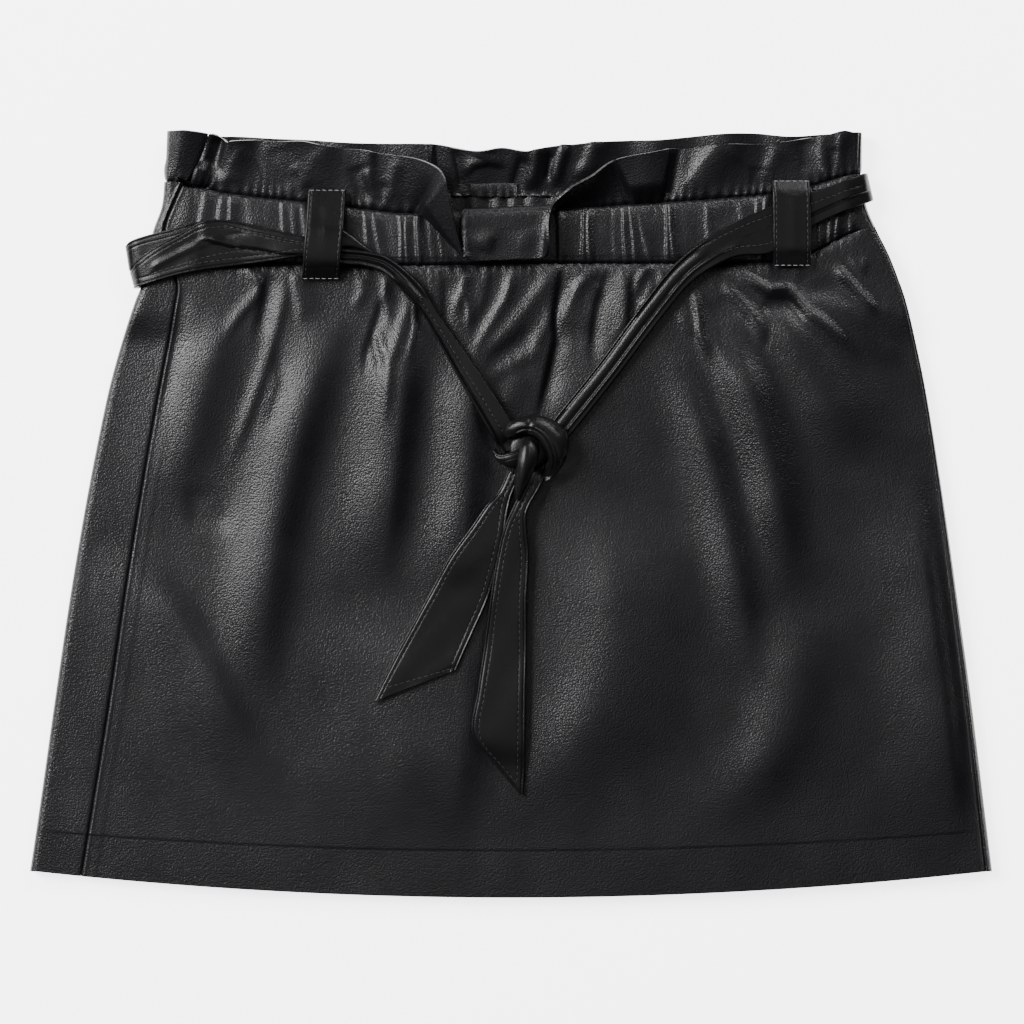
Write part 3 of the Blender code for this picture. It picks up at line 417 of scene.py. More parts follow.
KNOT_WRAP_MARKS = table(
    Mark,
    ("fold", ((0.3, 0.8), (0.5, 0.7), (0.72, 0.84)), -1.1, 0.7),
    ("ridge", ((0.3, 0.76), (0.5, 0.66), (0.72, 0.8)), 0.35, 0.5),
    ("groove", ((0.15, 0.14), (0.95, 0.14)), 0.8, 0.45),
    ("groove", ((0.35, 0.28), (0.95, 0.3)), 0.6, 0.45),
    ("fold", ((0, 0.55), (0.22, 0.72)), -0.9, 0.7),
)
KNOT_FRONT_MARKS = table(Mark, ("ridge", ((0.15, 0.3), (0.9, 0.3)), 0.5, 2.4))

RIM_LINE = 1.5          # the seam of a folded-in edge shows this far inside it
STITCH_LINE = 4.0       # the belt is topstitched this far inside its edges
STITCH_LIFT = 0.02      # stitches lie this far above the cloth, and more across the ends of the loops
END_STITCH_LIFT = 0.1
EDGE_STEPS = (
    0.0, 0.1, 0.25, 0.45, 0.7, 0.95, 1.2, 1.4, 1.6, 1.8, 2.1, 2.6, 3.1, 3.5, 3.75, 4.0, 4.25, 4.5, 5.0,
)
FULL_EDGES = 5.6        # a strap with less than this on each side of its middle has its edge steps squeezed
MIDDLE_STEPS = 16
UNDER_STEPS = 6

# The knot's bands: inner edge and outer edge at each station
KNOT_WRAP = (
    ((0.52, 38.48, 15), (-1.56, 44.2, 14)), ((2.08, 39, 17.5), (0.52, 47.58, 15.5)),
    ((6.24, 40.82, 20), (6.24, 49.66, 16.5)), ((10.4, 40.56, 21.2), (15.6, 49.92, 16.8)),
    ((14.56, 37.44, 21.8), (23.92, 46.8, 17)), ((17.68, 32.5, 21.6), (29.38, 41.08, 17)),
    ((19.448, 27.56, 20.6), (29.12, 33.02, 16.6)), ((18.928, 23.4, 18), (25.74, 26, 15.4)),
    ((16.64, 19.24, 13.4), (19.76, 18.72, 13)),
)
KNOT_FRONT = (
    ((6.76, 36.92, 15), (13, 37.96, 15)), ((4.42, 33.28, 17.6), (14.56, 33.8, 17.2)),
    ((3.12, 27.04, 19), (14.3, 28.08, 18.4)), ((2.34, 20.8, 18.6), (11.96, 22.36, 18)),
    ((1.56, 14.56, 17.2), (8.84, 15.6, 16.8)), ((1.82, 7.8, 15.2), (4.68, 7.28, 15.2)),
)
KNOT_LEFT_END = (
    ((-8.84, 32.448, 13.8), (-8.58, 33.28, 14)), ((-6.76, 27.04, 14.4), (-5.72, 30.888, 15.4)),
    ((-3.328, 24.44, 15), (-2.08, 31.096, 16.6)), ((0, 23.4, 15.4), (1.3, 32.24, 17.2)),
    ((3.64, 23.608, 15.2), (4.94, 34.32, 16.8)),
)
KNOT_MIDDLE = (9.6, 32.4, 14.2)     # its core fills what the bands leave open
KNOT_CORE_RADIUS = 10.5
KNOT_CORE_RISE = 2.0

Loop = namedtuple("Loop", "x y z")
LOOP_WIDTH = 19.6
LOOP_THICK = 1.6
LOOP_END_STITCH = 0.6   # the stitches across its ends lie this far inside them
LEFT_LOOP = table(
    Loop,
    (-95.2, 167.4, 14.6), (-95.5, 163, 15.6), (-96, 153, 18), (-96.6, 145, 20), (-97.4, 136, 20),
    (-97.8, 129.4, 18.8), (-98.2, 125.4, 16), (-98.8, 121.4, 13.2),
)
RIGHT_LOOP = table(
    Loop,
    (145, 172, 14), (145.1, 166, 16.4), (145.2, 160, 17), (145.3, 148, 17), (145.4, 138, 16.6),
    (145.5, 132, 14.8), (145.5, 128, 13.4),
)

# ---------------------------------------------------------------------------
# The studio, in metres
# ---------------------------------------------------------------------------
FLOOR_SIZE = 6.0
FLOOR_GAP = 0.0004
ROOM_LIGHT = 0.02
SENSOR = 36.0           # width of the camera's sensor in millimetres
CAMERA_X = 0.0005
CAMERA_Y = 0.0005
SKIRT_TOP = 0.006       # height that the picture's width is measured at
Softbox = namedtuple("Softbox", "name place size")
SOFTBOXES = table(
    Softbox,
    ("key", (-2.1, 1.17, 2.16), (1.3, 1.9)), ("top", (0, -0.15, 2.7), (1.7, 1.7)),
    ("fill", (0.95, 1.6, 1.3), (1.4, 0.5)),
)


# ---------------------------------------------------------------------------
# Curves and reliefs
# ---------------------------------------------------------------------------
def smooth_step(value):
    value = np.clip(value, 0.0, 1.0)
    return value * value * (3.0 - 2.0 * value)


def blend(start, end, share):
    return start + (end - start) * share


def bell(distance, width):
    return np.exp(-(distance / width) ** 2)


def curve_through(keys, values, at):
    """Smooth curve through values at rising keys."""
    slopes = np.diff(values) / np.diff(keys)
    slopes = np.concatenate([slopes[:1], (values[2:] - values[:-2]) / (keys[2:] - keys[:-2]), slopes[-1:]])
    at = np.clip(np.asarray(at, float), keys[0], keys[-1])
    i = np.clip(np.searchsorted(keys, at, side="right") - 1, 0, len(keys) - 2)
    span = keys[i + 1] - keys[i]
    t = (at - keys[i]) / span
    start = values[i] * (1 + 2 * t) + slopes[i] * span * t
    end = values[i + 1] * (3 - 2 * t) + slopes[i + 1] * span * (t - 1)
    return start * (1 - t) ** 2 + end * t * t


def curve(rows, field, at):
    """Smooth curve through one column of a table, whose first column rises."""
    keys = np.array([row[0] for row in rows], float)
    return curve_through(keys, np.array([getattr(row, field) for row in rows], float), at)


def along_curve(points, at):
    """Smooth curve through points; at runs from 0 to the number of points less one."""
    columns = np.asarray(points, float).T
    return np.stack([curve_through(np.arange(len(points)), column, at) for column in columns], 1)


def ripple(x, y, wavelength, turn):
    """Slow uneven waves, from -1 to 1, with no two bays alike."""
    a = 2 * math.pi / wavelength
    first = np.sin(a * (x + 0.31 * y) + turn + 1.7 * np.sin(a * 0.37 * y + turn))
    second = np.sin(a * 1.43 * (x - 0.22 * y) + 2.1 * turn + 1.3 * np.sin(a * 0.51 * (x + y)))
    return 0.5 * (first + second)


def tucks(x, pitch, sway, bay):
    """Small gathers beside a seam, unevenly spaced."""
    return np.sin(2 * math.pi * x / pitch + sway * np.sin(x / bay))


def hem_y(x):
    return HEM_Y + HEM_BOW * (x / HALF_HEM) ** 2


def ring_y(x, row, side):
    """Height of a row: 0 is the hem, 1 the waistband's lower seam and 2 its upper seam."""
    lower = curve(WAIST, "lower", x)
    return np.where(row <= 1.0, blend(hem_y(x), lower, row), blend(lower, curve(WAIST, side, x), row - 1.0))


def side_y(row, side):
    """Height of a row at a side fold, whose own x depends on it."""
    inwards = BODY_DEPTH / 2 if side == "left" else -BODY_DEPTH / 2
    y = ring_y(np.full_like(row, -50.0 * inwards), row, "front")
    for _ in range(4):
        y = ring_y(curve(SIDES, side, y) + inwards, row, "front")
    return y


def raised(y):
    return smooth_step((y - LIFT_FROM) / (LIFT_TO - LIFT_FROM))


def depth(y):
    return blend(BODY_DEPTH, BAND_DEPTH, raised(y))


def fold_height(fold, x, y):
    along = (fold.top_y - y) / (fold.top_y - fold.low_y)
    mid = (fold.top_y - fold.mid_y) / (fold.top_y - fold.low_y)
    bend = (fold.mid_x - blend(fold.top_x, fold.low_x, mid)) / (mid * (1.0 - mid))
    crest = blend(fold.top_x, fold.low_x, along) + bend * along * (1.0 - along)
    flank = np.where(x < crest, fold.left, fold.right)
    fade = smooth_step(along / 0.3) * smooth_step((1.0 - along) / 0.4)
    return fold.height * fade * bell(x - crest, flank)


def gather_height(gather, x, y):
    lower, upper = (float(curve(WAIST, seam, gather.x)) for seam in ("lower", "front"))
    below = np.maximum(lower - y, 0.0) / gather.length
    crest = blend(gather.x, gather.low_x, below)
    width = GATHER_WIDTH + GATHER_SPREAD * below
    pinch = bell(y - lower, 3.0) + bell(y - upper, 3.0)
    fade = 1.0 - smooth_step(below)
    return gather.height * fade * (1.0 - SEAM_PINCH * pinch) * bell(x - crest, width)


def crease_height(crease, x, y):
    """Rise of the cloth along a crease, faded out towards both its ends."""
    lengths = [math.dist(a, b) for a, b in zip(crease.path, crease.path[1:])]
    nearest, rise, run = np.full(np.shape(x), 1e9), np.zeros(np.shape(x)), 0.0
    for (x1, y1), (x2, y2), length in zip(crease.path, crease.path[1:], lengths):
        along = np.clip(((x - x1) * (x2 - x1) + (y - y1) * (y2 - y1)) / length ** 2, 0.0, 1.0)
        away = np.hypot(x - blend(x1, x2, along), y - blend(y1, y2, along))
        right_hand = (y - y1) * (x2 - x1) - (x - x1) * (y2 - y1) > 0
        position = (run + along * length) / sum(lengths)
        fade = smooth_step((position + 0.06) / 0.26) * smooth_step((1.06 - position) / 0.36)
        here = crease.height * fade * bell(away, np.where(right_hand, crease.right, crease.left))
        rise = np.where(away < nearest, here, rise)
        nearest = np.minimum(away, nearest)
        run += length
    return rise


def all_of(height, forms, x, y):
    """What all the folds, gathers or creases of a table add up to."""
    return sum(height(form, x, y) for form in forms)


def in_band(x, y):
    """How far up the waistband a place is, as a share, and the band's height there."""
    lower, upper = curve(WAIST, "lower", x), curve(WAIST, "front", x)
    return np.clip((y - lower) / (upper - lower), 0.0, 1.0), upper - lower


def large_relief(x, y):
    """The plain form that straps rest on."""
    relief = all_of(fold_height, FOLDS, x, y) + all_of(gather_height, GATHERS, x, y)
    return relief + BAND_PUFF * np.sin(math.pi * in_band(x, y)[0])


def body_relief(x, y):
    """Form of the front panel above its flat lay."""
    relief = all_of(fold_height, FOLDS, x, y) + 0.15 * all_of(gather_height, GATHERS, x, y)
    relief = relief + all_of(crease_height, CREASES, x, y)
    under_band = np.maximum(curve(WAIST, "lower", x) - y, 0.0)
    relief = relief + 0.2 * tucks(x, 5.3, 2.2, 7.1) * np.exp(-under_band / 4.0)
    relief = relief + 0.1 * ripple(x, y, 46.0, 0.6) - 1.3 * np.exp(-under_band / 1.6)
    above_stitch = y - hem_y(x) - HEM_STITCH + HEM_STITCH_DROP * (x / 240.0) ** 2
    return relief - 0.2 * smooth_step(0.5 - above_stitch / 1.2) - 0.08 * bell(above_stitch, 0.6)


def band_relief(x, y):
    """Form of the gathered waistband between its two seams."""
    up, height = in_band(x, y)
    relief = 0.8 * BAND_PUFF * np.sin(math.pi * up) ** 0.5
    for ridge in BAND_RIDGES:
        off = x - blend(ridge.low_x, ridge.top_x, up) - 0.5 * np.sin(3.1 * up + ridge.low_x)
        flank = np.where(off < 0.0, 0.8 * ridge.width, ridge.width + 1.8)
        relief = relief + 0.72 * ridge.height * bell(off, flank)
    edge = np.minimum(up, 1.0 - up) * height
    relief = relief + 0.14 * tucks(x, 4.6, 2.6, 6.3) * np.exp(-edge / 2.6)
    relief = relief - 0.2 * bell(edge - 3.0, 0.6) - 1.5 * np.exp(-edge / 1.3)
    return relief + 0.16 * ripple(x, y, 21.0, 1.1)


def no_relief(x, y):
    """Form of the frill's own seam, without the gathers of the cloth below it."""
    return 0.0 * x


def front_height(x, y, relief=large_relief):
    """Height of the outside of the front."""
    inset = np.minimum(x - curve(SIDES, "left", y), curve(SIDES, "right", y) - x) - depth(y) / 2
    eased = smooth_step((y + 10.0) / (LIFT_TO + 10.0)) - raised(y)
    ramp = (BAND_LIFT + BAND_DEPTH - BODY_DEPTH) * eased * smooth_step(inset / 50.0)
    return BAND_LIFT * raised(y) + depth(y) + ramp + relief(x, y) * smooth_step(inset / EDGE_FADE)


# ---------------------------------------------------------------------------
# The tube: columns run round it from the left seam, rows from the hem to the frill seam. A column's place is
# a share of its zone's width, or the angle round a side fold.
# ---------------------------------------------------------------------------
FRONT, RIGHT, BACK, LEFT, WRAP = range(5)


def ring(zone, place, row, relief):
    """Points of the outside and the directions out of it."""
    at_front, at_back, at_left, at_right = (zone == z for z in (FRONT, BACK, LEFT, RIGHT))
    at_side = at_left | at_right
    left_y, right_y = side_y(row, "left"), side_y(row, "right")
    left, seam = curve(SIDES, "left", left_y), curve(SIDES, "seam", left_y)
    right = curve(SIDES, "right", right_y)
    left_end, right_end = left + depth(left_y) / 2, right - depth(right_y) / 2

    seam_deg = np.full_like(row, RIGHT_SEAM_DEG)
    if relief is body_relief:
        seam_deg = blend(*BODY_SEAM_DEG, np.clip(row, 0.0, 1.0))
    onto_front = 90.0 - (90.0 - place) * (90.0 - seam_deg) / (90.0 - RIGHT_SEAM_DEG)
    onto_back = (place + 90.0) * (seam_deg + 90.0) / (RIGHT_SEAM_DEG + 90.0) - 90.0
    place = np.where(at_right, np.where(place >= RIGHT_SEAM_DEG, onto_front, onto_back), place)
    turn = np.radians(place)

    across = (
        blend(seam + SEAM_SLIT, right_end, place), blend(left_end, seam - SEAM_SLIT, place),
        blend(right_end, left_end, place),
    )
    x = np.select([at_front, zone == WRAP, at_back], across, 0.0)
    near = smooth_step(np.minimum(x - left_end, right_end - x) / EDGE_FADE)
    front_y = ring_y(x, row, "front")
    back_y = blend(front_y, ring_y(x, row, "back"), near)
    y = np.select([at_back, at_left, at_right], [back_y, left_y, right_y], front_y)

    # The right seam: a slit between two small rolls
    from_seam = np.radians(np.abs(place - seam_deg)) * depth(y) / 2
    from_seam = np.where(at_front, right_end - x + np.radians(90.0 - seam_deg) * depth(y) / 2, from_seam)
    from_seam = np.where(at_front | at_right, from_seam, 99.0)
    welt = 0.28 * bell(from_seam - 0.9, 0.5) - 0.3 * bell(from_seam, 0.3)
    radius = depth(y) / 2 + np.where(at_right, welt, 0.0)
    x = np.where(at_side, np.where(at_left, left_end, right_end) + radius * np.cos(turn), x)
    lift = BAND_LIFT * raised(y)
    side_z = lift + depth(y) / 2 + radius * np.sin(turn)
    z = np.select([at_back, at_side], [lift, side_z], front_height(x, y, relief) + welt)
    if relief is band_relief:
        z = z + np.where(at_back, near * (0.5 + 0.5 * np.sin(x / 1.9 + 2 * np.sin(x / 9.0))), 0.0)

    # The left seam lies on the front: both its sides turn down into it
    from_seam = np.where(at_front, x - seam, np.where(zone == WRAP, seam - x, 99.0))
    z = z - 1.0 * np.exp(-np.maximum(from_seam, 0.0) / 0.5)
    rolled = ~at_back if relief is band_relief else at_front
    z = z + np.where(rolled, 0.32 * bell(from_seam - 1.3, 0.6), 0.0)
    if relief is body_relief:
        from_allowance = np.where(at_front, x - seam - ALLOWANCE_LINE, 99.0)
        z = z + 0.15 * smooth_step(0.5 - from_allowance / 1.2) * smooth_step((60.0 - y) / 60.0)
    out_x = np.where(at_side, np.cos(turn), 0.0)
    out_z = np.select([at_back, at_side], [-1.0, np.sin(turn)], 1.0)
    return np.stack([x, y, z], 1), np.stack([out_x, np.zeros_like(x), out_z], 1)


def body_surface(zone, place, row):
    return ring(zone, place, row, body_relief)[0]


def band_surface(zone, place, row):
    return ring(zone, place, row, band_relief)[0]


def turned_corner(base, share):
    """The flap's corner runs down from its seam to a slanting fold, then back up to its free edge."""
    t = np.clip((base[:, 0] - CORNER_FROM_X) / (CORNER_TO_X - CORNER_FROM_X), 0.0, 1.0)
    fold, edge = (blend(*np.array(ends)[:, None], t[:, None]) for ends in (CORNER_FOLD, CORNER_EDGE))
    down, back = fold - base[:, :2], edge - fold
    turn_at = np.hypot(*down.T) / (np.hypot(*down.T) + np.hypot(*back.T))
    past = 0.5 * (share - turn_at + np.hypot(share - turn_at, 0.05))
    past_share = past / (1.0 - turn_at + 0.02)
    down_share = (share - past) / np.maximum(turn_at, 0.02)
    under, top = blend(*CORNER_UNDER, t), blend(*CORNER_TOP, t)
    rise = under * (1.0 - np.exp(-share / 0.08)) + CORNER_ROLL * smooth_step(past_share / 0.3)
    rise = rise + np.maximum(top - under - CORNER_ROLL, 0.0) * past_share
    flat = base[:, :2] + down * down_share[:, None] + back * past_share[:, None]
    return np.concatenate([flat, (base[:, 2] + rise)[:, None]], axis=1)


def standing_fold(x, share):
    """The fold that stands up right of the neck, and the hollow beside it."""
    left, right = (blend(low, top, share) for low, top in zip(LAP_SEAM, LAP_TOP))
    standing = smooth_step((x - left) / 3.0) * smooth_step((right - x) / 2.0)
    rounded = 1.0 - 0.35 * ((x - (left + right) / 2) / 12.0) ** 2
    hollow = bell(x - right - 3.0, 3.0) * smooth_step(share / 0.2)
    return LAP_RISE * standing * rounded * smooth_step((share + 0.1) / 0.5) - 1.5 * hollow


def frill_setting(field, zone, x, turned):
    """The frill's lean, angle or length; its angle turns over between the front and the back."""
    sign = -1.0 if field == "angle" else 1.0
    front, back = curve(FRONT_FRILL, field, x), sign * curve(BACK_FRILL, field, x)
    sides = [
        blend(getattr(FRONT_FRILL[end], field), sign * getattr(BACK_FRILL[end], field), turned)
        * (np.abs(2.0 * turned - 1.0) if field == "angle" else 1.0)
        for end in (0, -1)
    ]
    return np.select([zone == BACK, zone == LEFT, zone == RIGHT], [back, *sides], front)


def frill_surface(zone, place, share):
    """The frill leaves its seam, turns to its angle and runs on to its free edge."""
    base, out = ring(zone, place, np.full_like(share, 2.0), no_relief)
    x, turned = base[:, 0], np.abs(place - 90.0) / 180.0
    lean, angle, length = (frill_setting(field, zone, x, turned) for field in ("lean", "angle", "length"))
    over_band = np.where(zone == BACK, smooth_step(np.minimum(place, 1.0 - place) / 0.05), 0.0)
    reach, rise = SEAM_SLIT - 0.7 * over_band, -0.12 * over_band * np.exp(-share * length / 1.2)
    for step in range(FRILL_STEPS):
        middle = (step + 0.5) / FRILL_STEPS * share
        here = np.radians(blend(0.35 * angle, angle, smooth_step(middle / FRILL_TURN)))
        reach = reach + np.cos(here) * length * share / FRILL_STEPS
        rise = rise + np.sin(here) * length * share / FRILL_STEPS

    level = smooth_step((np.abs(angle) - 60.0) / -30.0)
    far_left = smooth_step((x + 150.0) / -10.0)
    point = base.copy()
    point[:, 0] += lean * blend(share, share ** 0.6, far_left)
    point[:, 1] += reach
    rise = rise + 0.45 * tucks(x, 5.2, 2.4, 6.7) * np.exp(-share * 9.0) * blend(0.5, 1.0, level)
    rise = rise - 1.2 * np.exp(-share * length / 1.2)

    px, py, free = point[:, 0], point[:, 1], smooth_step(share / 0.1)
    front_folds = all_of(crease_height, FRILL_CREASES, px, py) * level * free
    hanging = (1.0 - level) * smooth_step((share - 0.45) / 0.2)
    flap_folds = all_of(crease_height, FLAP_CREASES, px, py) * hanging
    back_folds = all_of(crease_height, BACK_FRILL_CREASES, px, py) * free
    rise = rise + np.where(zone == FRONT, front_folds + flap_folds + standing_fold(px, share), 0.0)
    rise = rise - np.where(zone == BACK, back_folds, 0.0)

    round_left = np.where(zone == LEFT, smooth_step(turned - 0.2), 0.0)
    curl = np.where(zone == FRONT, bell(x - CURL_X, CURL_WIDTH), round_left)
    roll = 3.2 * curl * np.sin(math.pi * np.clip(share / 0.5, 0.0, 1.0)) ** 2
    point = point + out * (rise + roll)[:, None]
    point[:, 1] -= 3.5 * curl * np.sin(math.pi * np.clip(share / 0.24, 0.0, 1.0))
    corner = smooth_step((x - CORNER_FROM_X + 1.6) / 2.4) * smooth_step((CORNER_TO_X + 2.6 - x) / 3.0)
    corner = np.where(zone == FRONT, corner, 0.0)
    return blend(point, turned_corner(base, share), corner[:, None])


def tab_surface(zone, place, share):
    """The small tab inside the neck lies on the inside of the back frill."""
    wall = cloth_settings().frill_wall / MM
    point = frill_surface(zone, place, 0.03 + 0.25 * share)
    edge = np.minimum(share, 1.0 - share)
    point[:, 2] += wall + TAB_WALL + TAB_GAP - 0.3 * np.exp(-edge / 0.08) + 0.5 * np.sin(math.pi * share)
    return point


def resting_z(lower, upper, thick):
    """Middle height of a strap that lies on the front between two edge points."""
    shares, shifts_x, shifts_y = np.meshgrid(
        np.linspace(0, 1, 5), np.arange(-6.0, 7.0, 2.0), (-4.0, 0.0, 4.0), indexing="ij"
    )
    x = blend(lower[0], upper[0], shares) + shifts_x
    y = blend(lower[1], upper[1], shares) + shifts_y
    return float(front_height(x, y).max()) + REST_GAP + thick / 2


# ---------------------------------------------------------------------------
# Settings
# ---------------------------------------------------------------------------
def to_linear(hex_colour):
    """sRGB hex to linear red, green and blue."""
    parts = [int(hex_colour[i:i + 2], 16) / 255.0 for i in (1, 3, 5)]
    return tuple(p / 12.92 if p <= 0.04045 else ((p + 0.055) / 1.055) ** 2.4 for p in parts)


class SkirtCloth(bpy.types.PropertyGroup):
    wall: bpy.props.FloatProperty(
        name="Cloth", description="Thickness of the coated cloth", default=0.0012, unit="LENGTH"
    )
    frill_wall: bpy.props.FloatProperty(
        name="Frill", description="Thickness of the doubled cloth of the frill", default=0.0014, unit="LENGTH"
    )
    stitch_length: bpy.props.FloatProperty(
        name="Stitch", description="Length of a stitch", default=0.0024, unit="LENGTH"
    )
    stitch_pitch: bpy.props.FloatProperty(
        name="Pitch", description="From one stitch to the next", default=0.0032, unit="LENGTH"
    )
    thread: bpy.props.FloatProperty(
        name="Thread", description="Thickness of the thread", default=0.00045, unit="LENGTH"
    )


class SkirtLeather(bpy.types.PropertyGroup):
    skirt: bpy.props.FloatVectorProperty(
        name="Skirt", description="Colour of the skirt's leather", subtype="COLOR",
        default=to_linear("#0a0a0c"),
    )
    belt: bpy.props.FloatVectorProperty(
        name="Belt", description="Colour of the belt's leather", subtype="COLOR",
        default=to_linear("#0c0c0d"),
    )
    thread: bpy.props.FloatVectorProperty(
        name="Thread", description="Colour of the thread", subtype="COLOR", default=to_linear("#0c0c0d")
    )
    # Loop thread: a lighter grey than the real black thread, a painted highlight on the stitches across the
    # loops' ends
    painted_highlight_thread: bpy.props.FloatVectorProperty(
        name="Loop thread", description="Colour of the thread across the ends of the loops", subtype="COLOR",
        default=to_linear("#66666a"),
    )
    grain: bpy.props.FloatProperty(
        name="Grain", description="Width of a pebble of the grain", default=0.0009, unit="LENGTH"
    )
    grain_depth: bpy.props.FloatProperty(
        name="Grain depth", description="Depth of the embossed grain", default=0.00028, unit="LENGTH"
    )


class SkirtStudio(bpy.types.PropertyGroup):
    lens: bpy.props.FloatProperty(name="Lens", description="Focal length", default=150.0, unit="CAMERA")
    picture: bpy.props.FloatProperty(
        name="Picture", description="Width of surface that the picture takes in", default=0.5325,
        unit="LENGTH",
    )
    key: bpy.props.FloatProperty(
        name="Key", description="Power of the key softbox", default=300.0, unit="POWER"
    )
    top: bpy.props.FloatProperty(
        name="Top", description="Power of the softbox overhead", default=9.0, unit="POWER"
    )
    fill: bpy.props.FloatProperty(
        name="Fill", description="Power of the fill softbox", default=50.0, unit="POWER"
    )
    glow: bpy.props.FloatProperty(
        name="Glow", description="Light that the surface gives off itself", default=3.5
    )
    floor: bpy.props.FloatVectorProperty(
        name="Floor", description="Colour of the surface", subtype="COLOR", default=to_linear("#fafafa")
    )


def cloth_settings():
    return bpy.context.scene.skirt_cloth


# ---------------------------------------------------------------------------
# Materials
# ---------------------------------------------------------------------------
def start_material(name):
    """A new material, its node tree and its shader."""
    material = bpy.data.materials.new(name)
    material.use_nodes = True
    return material, material.node_tree, material.node_tree.nodes["Principled BSDF"]


def add_node(tree, kind, links=(), values=(), **settings):
    """Adds a node: links are (input, output socket), values are (input, number or colour) and settings
    are attributes or named inputs."""
    node = tree.nodes.new(kind)
    for name, value in settings.items():
        if hasattr(node, name) and name not in node.inputs:
            setattr(node, name, value)
        else:
            node.inputs[name.replace("_", " ")].default_value = value
    for place, value in values:
        node.inputs[place].default_value = value
    for place, source in links:
        tree.links.new(source, node.inputs[place])
    return node


# Roughness and IOR of the two leathers, matched to their gloss: the belt's is smoother
SKIRT_GLOSS = (0.35, 1.34)
BELT_GLOSS = (0.25, 1.25)


def shade_of(colour, share):
    return (*(c * share for c in colour), 1.0)


def coated_leather(name, colour, roughness, index, grain, grain_depth):
    """Polyurethane-coated cloth, embossed with a pebbled leather grain: dark, with a soft wide gloss
    that breaks up on the pebbles."""
    material, tree, shader = start_material(name)
    shader.inputs["IOR"].default_value = index
    place = [("Vector", add_node(tree, "ShaderNodeTexCoord").outputs["Object"])]
    pebbles = add_node(
        tree, "ShaderNodeTexVoronoi", place, feature="SMOOTH_F1", Scale=1.0 / grain, Smoothness=0.15
    )
    fine = add_node(tree, "ShaderNodeTexNoise", place, Scale=1.6 / grain, Detail=1.0, Roughness=0.5)
    patches = add_node(tree, "ShaderNodeTexNoise", place, Scale=38.0, Detail=3.0, Roughness=0.55)
    height = add_node(
        tree, "ShaderNodeMath", [(0, fine.outputs["Fac"]), (2, pebbles.outputs["Distance"])], [(1, 0.4)],
        operation="MULTIPLY_ADD",
    )
    bump = add_node(
        tree, "ShaderNodeBump", [("Height", height.outputs[0])], Strength=0.6, Distance=grain_depth,
        invert=True,
    )
    tree.links.new(bump.outputs["Normal"], shader.inputs["Normal"])
    rough = add_node(
        tree, "ShaderNodeMapRange", [("Value", patches.outputs["Fac"])],
        From_Min=0.3, From_Max=0.7, To_Min=roughness - 0.04, To_Max=roughness + 0.05,
    )
    tree.links.new(rough.outputs["Result"], shader.inputs["Roughness"])
    tone = add_node(
        tree, "ShaderNodeMix", [("Factor", patches.outputs["Fac"])],
        [(6, shade_of(colour, 0.82)), (7, shade_of(colour, 1.15))], data_type="RGBA",
    )
    tree.links.new(tone.outputs[2], shader.inputs["Base Color"])
    return material


def polyester_thread(name, colour):
    """Spun polyester thread: matt and twisted across its length."""
    material, tree, shader = start_material(name)
    shader.inputs["Roughness"].default_value = 0.55
    place = [("Vector", add_node(tree, "ShaderNodeTexCoord").outputs["Object"])]
    twist = add_node(tree, "ShaderNodeTexNoise", place, Scale=2600.0, Detail=1.0)
    bump = add_node(
        tree, "ShaderNodeBump", [("Height", twist.outputs["Fac"])], Strength=0.4, Distance=0.00005
    )
    tree.links.new(bump.outputs["Normal"], shader.inputs["Normal"])
    tone = add_node(
        tree, "ShaderNodeMix", [("Factor", twist.outputs["Fac"])],
        [(6, shade_of(colour, 0.7)), (7, shade_of(colour, 1.4))], data_type="RGBA",
    )
    tree.links.new(tone.outputs[2], shader.inputs["Base Color"])
    return material


def seamless_paper(name, colour, glow):
    """Matt studio paper, lit from within so that it stays pale round a dark skirt."""
    material, _, shader = start_material(name)
    shader.inputs["Base Color"].default_value = (*colour, 1.0)
    shader.inputs["Roughness"].default_value = 0.9
    shader.inputs["Emission Color"].default_value = (1.0, 1.0, 1.0, 1.0)
    shader.inputs["Emission Strength"].default_value = glow
    return material


def material_named(name):
    """The material of that name, made when a piece first asks for it."""
    if name in bpy.data.materials:
        return bpy.data.materials[name]
    s = bpy.context.scene.skirt_leather
    if name == "skirt_coated_leather":
        return coated_leather(name, s.skirt, *SKIRT_GLOSS, s.grain, s.grain_depth)
    if name == "belt_coated_leather":
        return coated_leather(name, s.belt, *BELT_GLOSS, s.grain * 0.6, s.grain_depth * 0.35)
    # The stitches across the loops' ends take the lighter thread colour, a painted highlight
    return polyester_thread(name, s.painted_highlight_thread if name.startswith("light") else s.thread)


# ---------------------------------------------------------------------------
# Making pieces
# ---------------------------------------------------------------------------
def pick(piece=None):
    """Leaves only this piece selected, or nothing."""
    bpy.ops.object.select_all(action="DESELECT")
    if piece:
        piece.select_set(True)
        bpy.context.view_layer.objects.active = piece


def start_grid(name, across, up):
    """A flat grid and the column and row number of each of its points."""
    pick()
    bpy.ops.mesh.primitive_grid_add(x_subdivisions=across, y_subdivisions=up, size=2.0)
    piece = bpy.context.active_object
    piece.name = piece.data.name = name
    flat = np.empty(len(piece.data.vertices) * 3)
    piece.data.vertices.foreach_get("co", flat)
    flat = flat.reshape(-1, 3)
    columns = np.rint((flat[:, 0] + 1) / 2 * across).astype(int)
    rows = np.rint((flat[:, 1] + 1) / 2 * up).astype(int)
    return piece, columns, rows


def place_points(piece, points):
    piece.data.vertices.foreach_set("co", (points * MM).ravel())
    piece.data.update()


def finish_piece(piece, material, node):
    """Gives a piece its material, hangs it on what it rides on and hides the solid that it stands for."""
    pick(piece)
    piece.data.materials.clear()
    piece.data.materials.append(material_named(material))
    bpy.ops.object.shade_smooth_by_angle(angle=math.radians(50))
    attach(piece, BODY)
    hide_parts(node)
    return piece


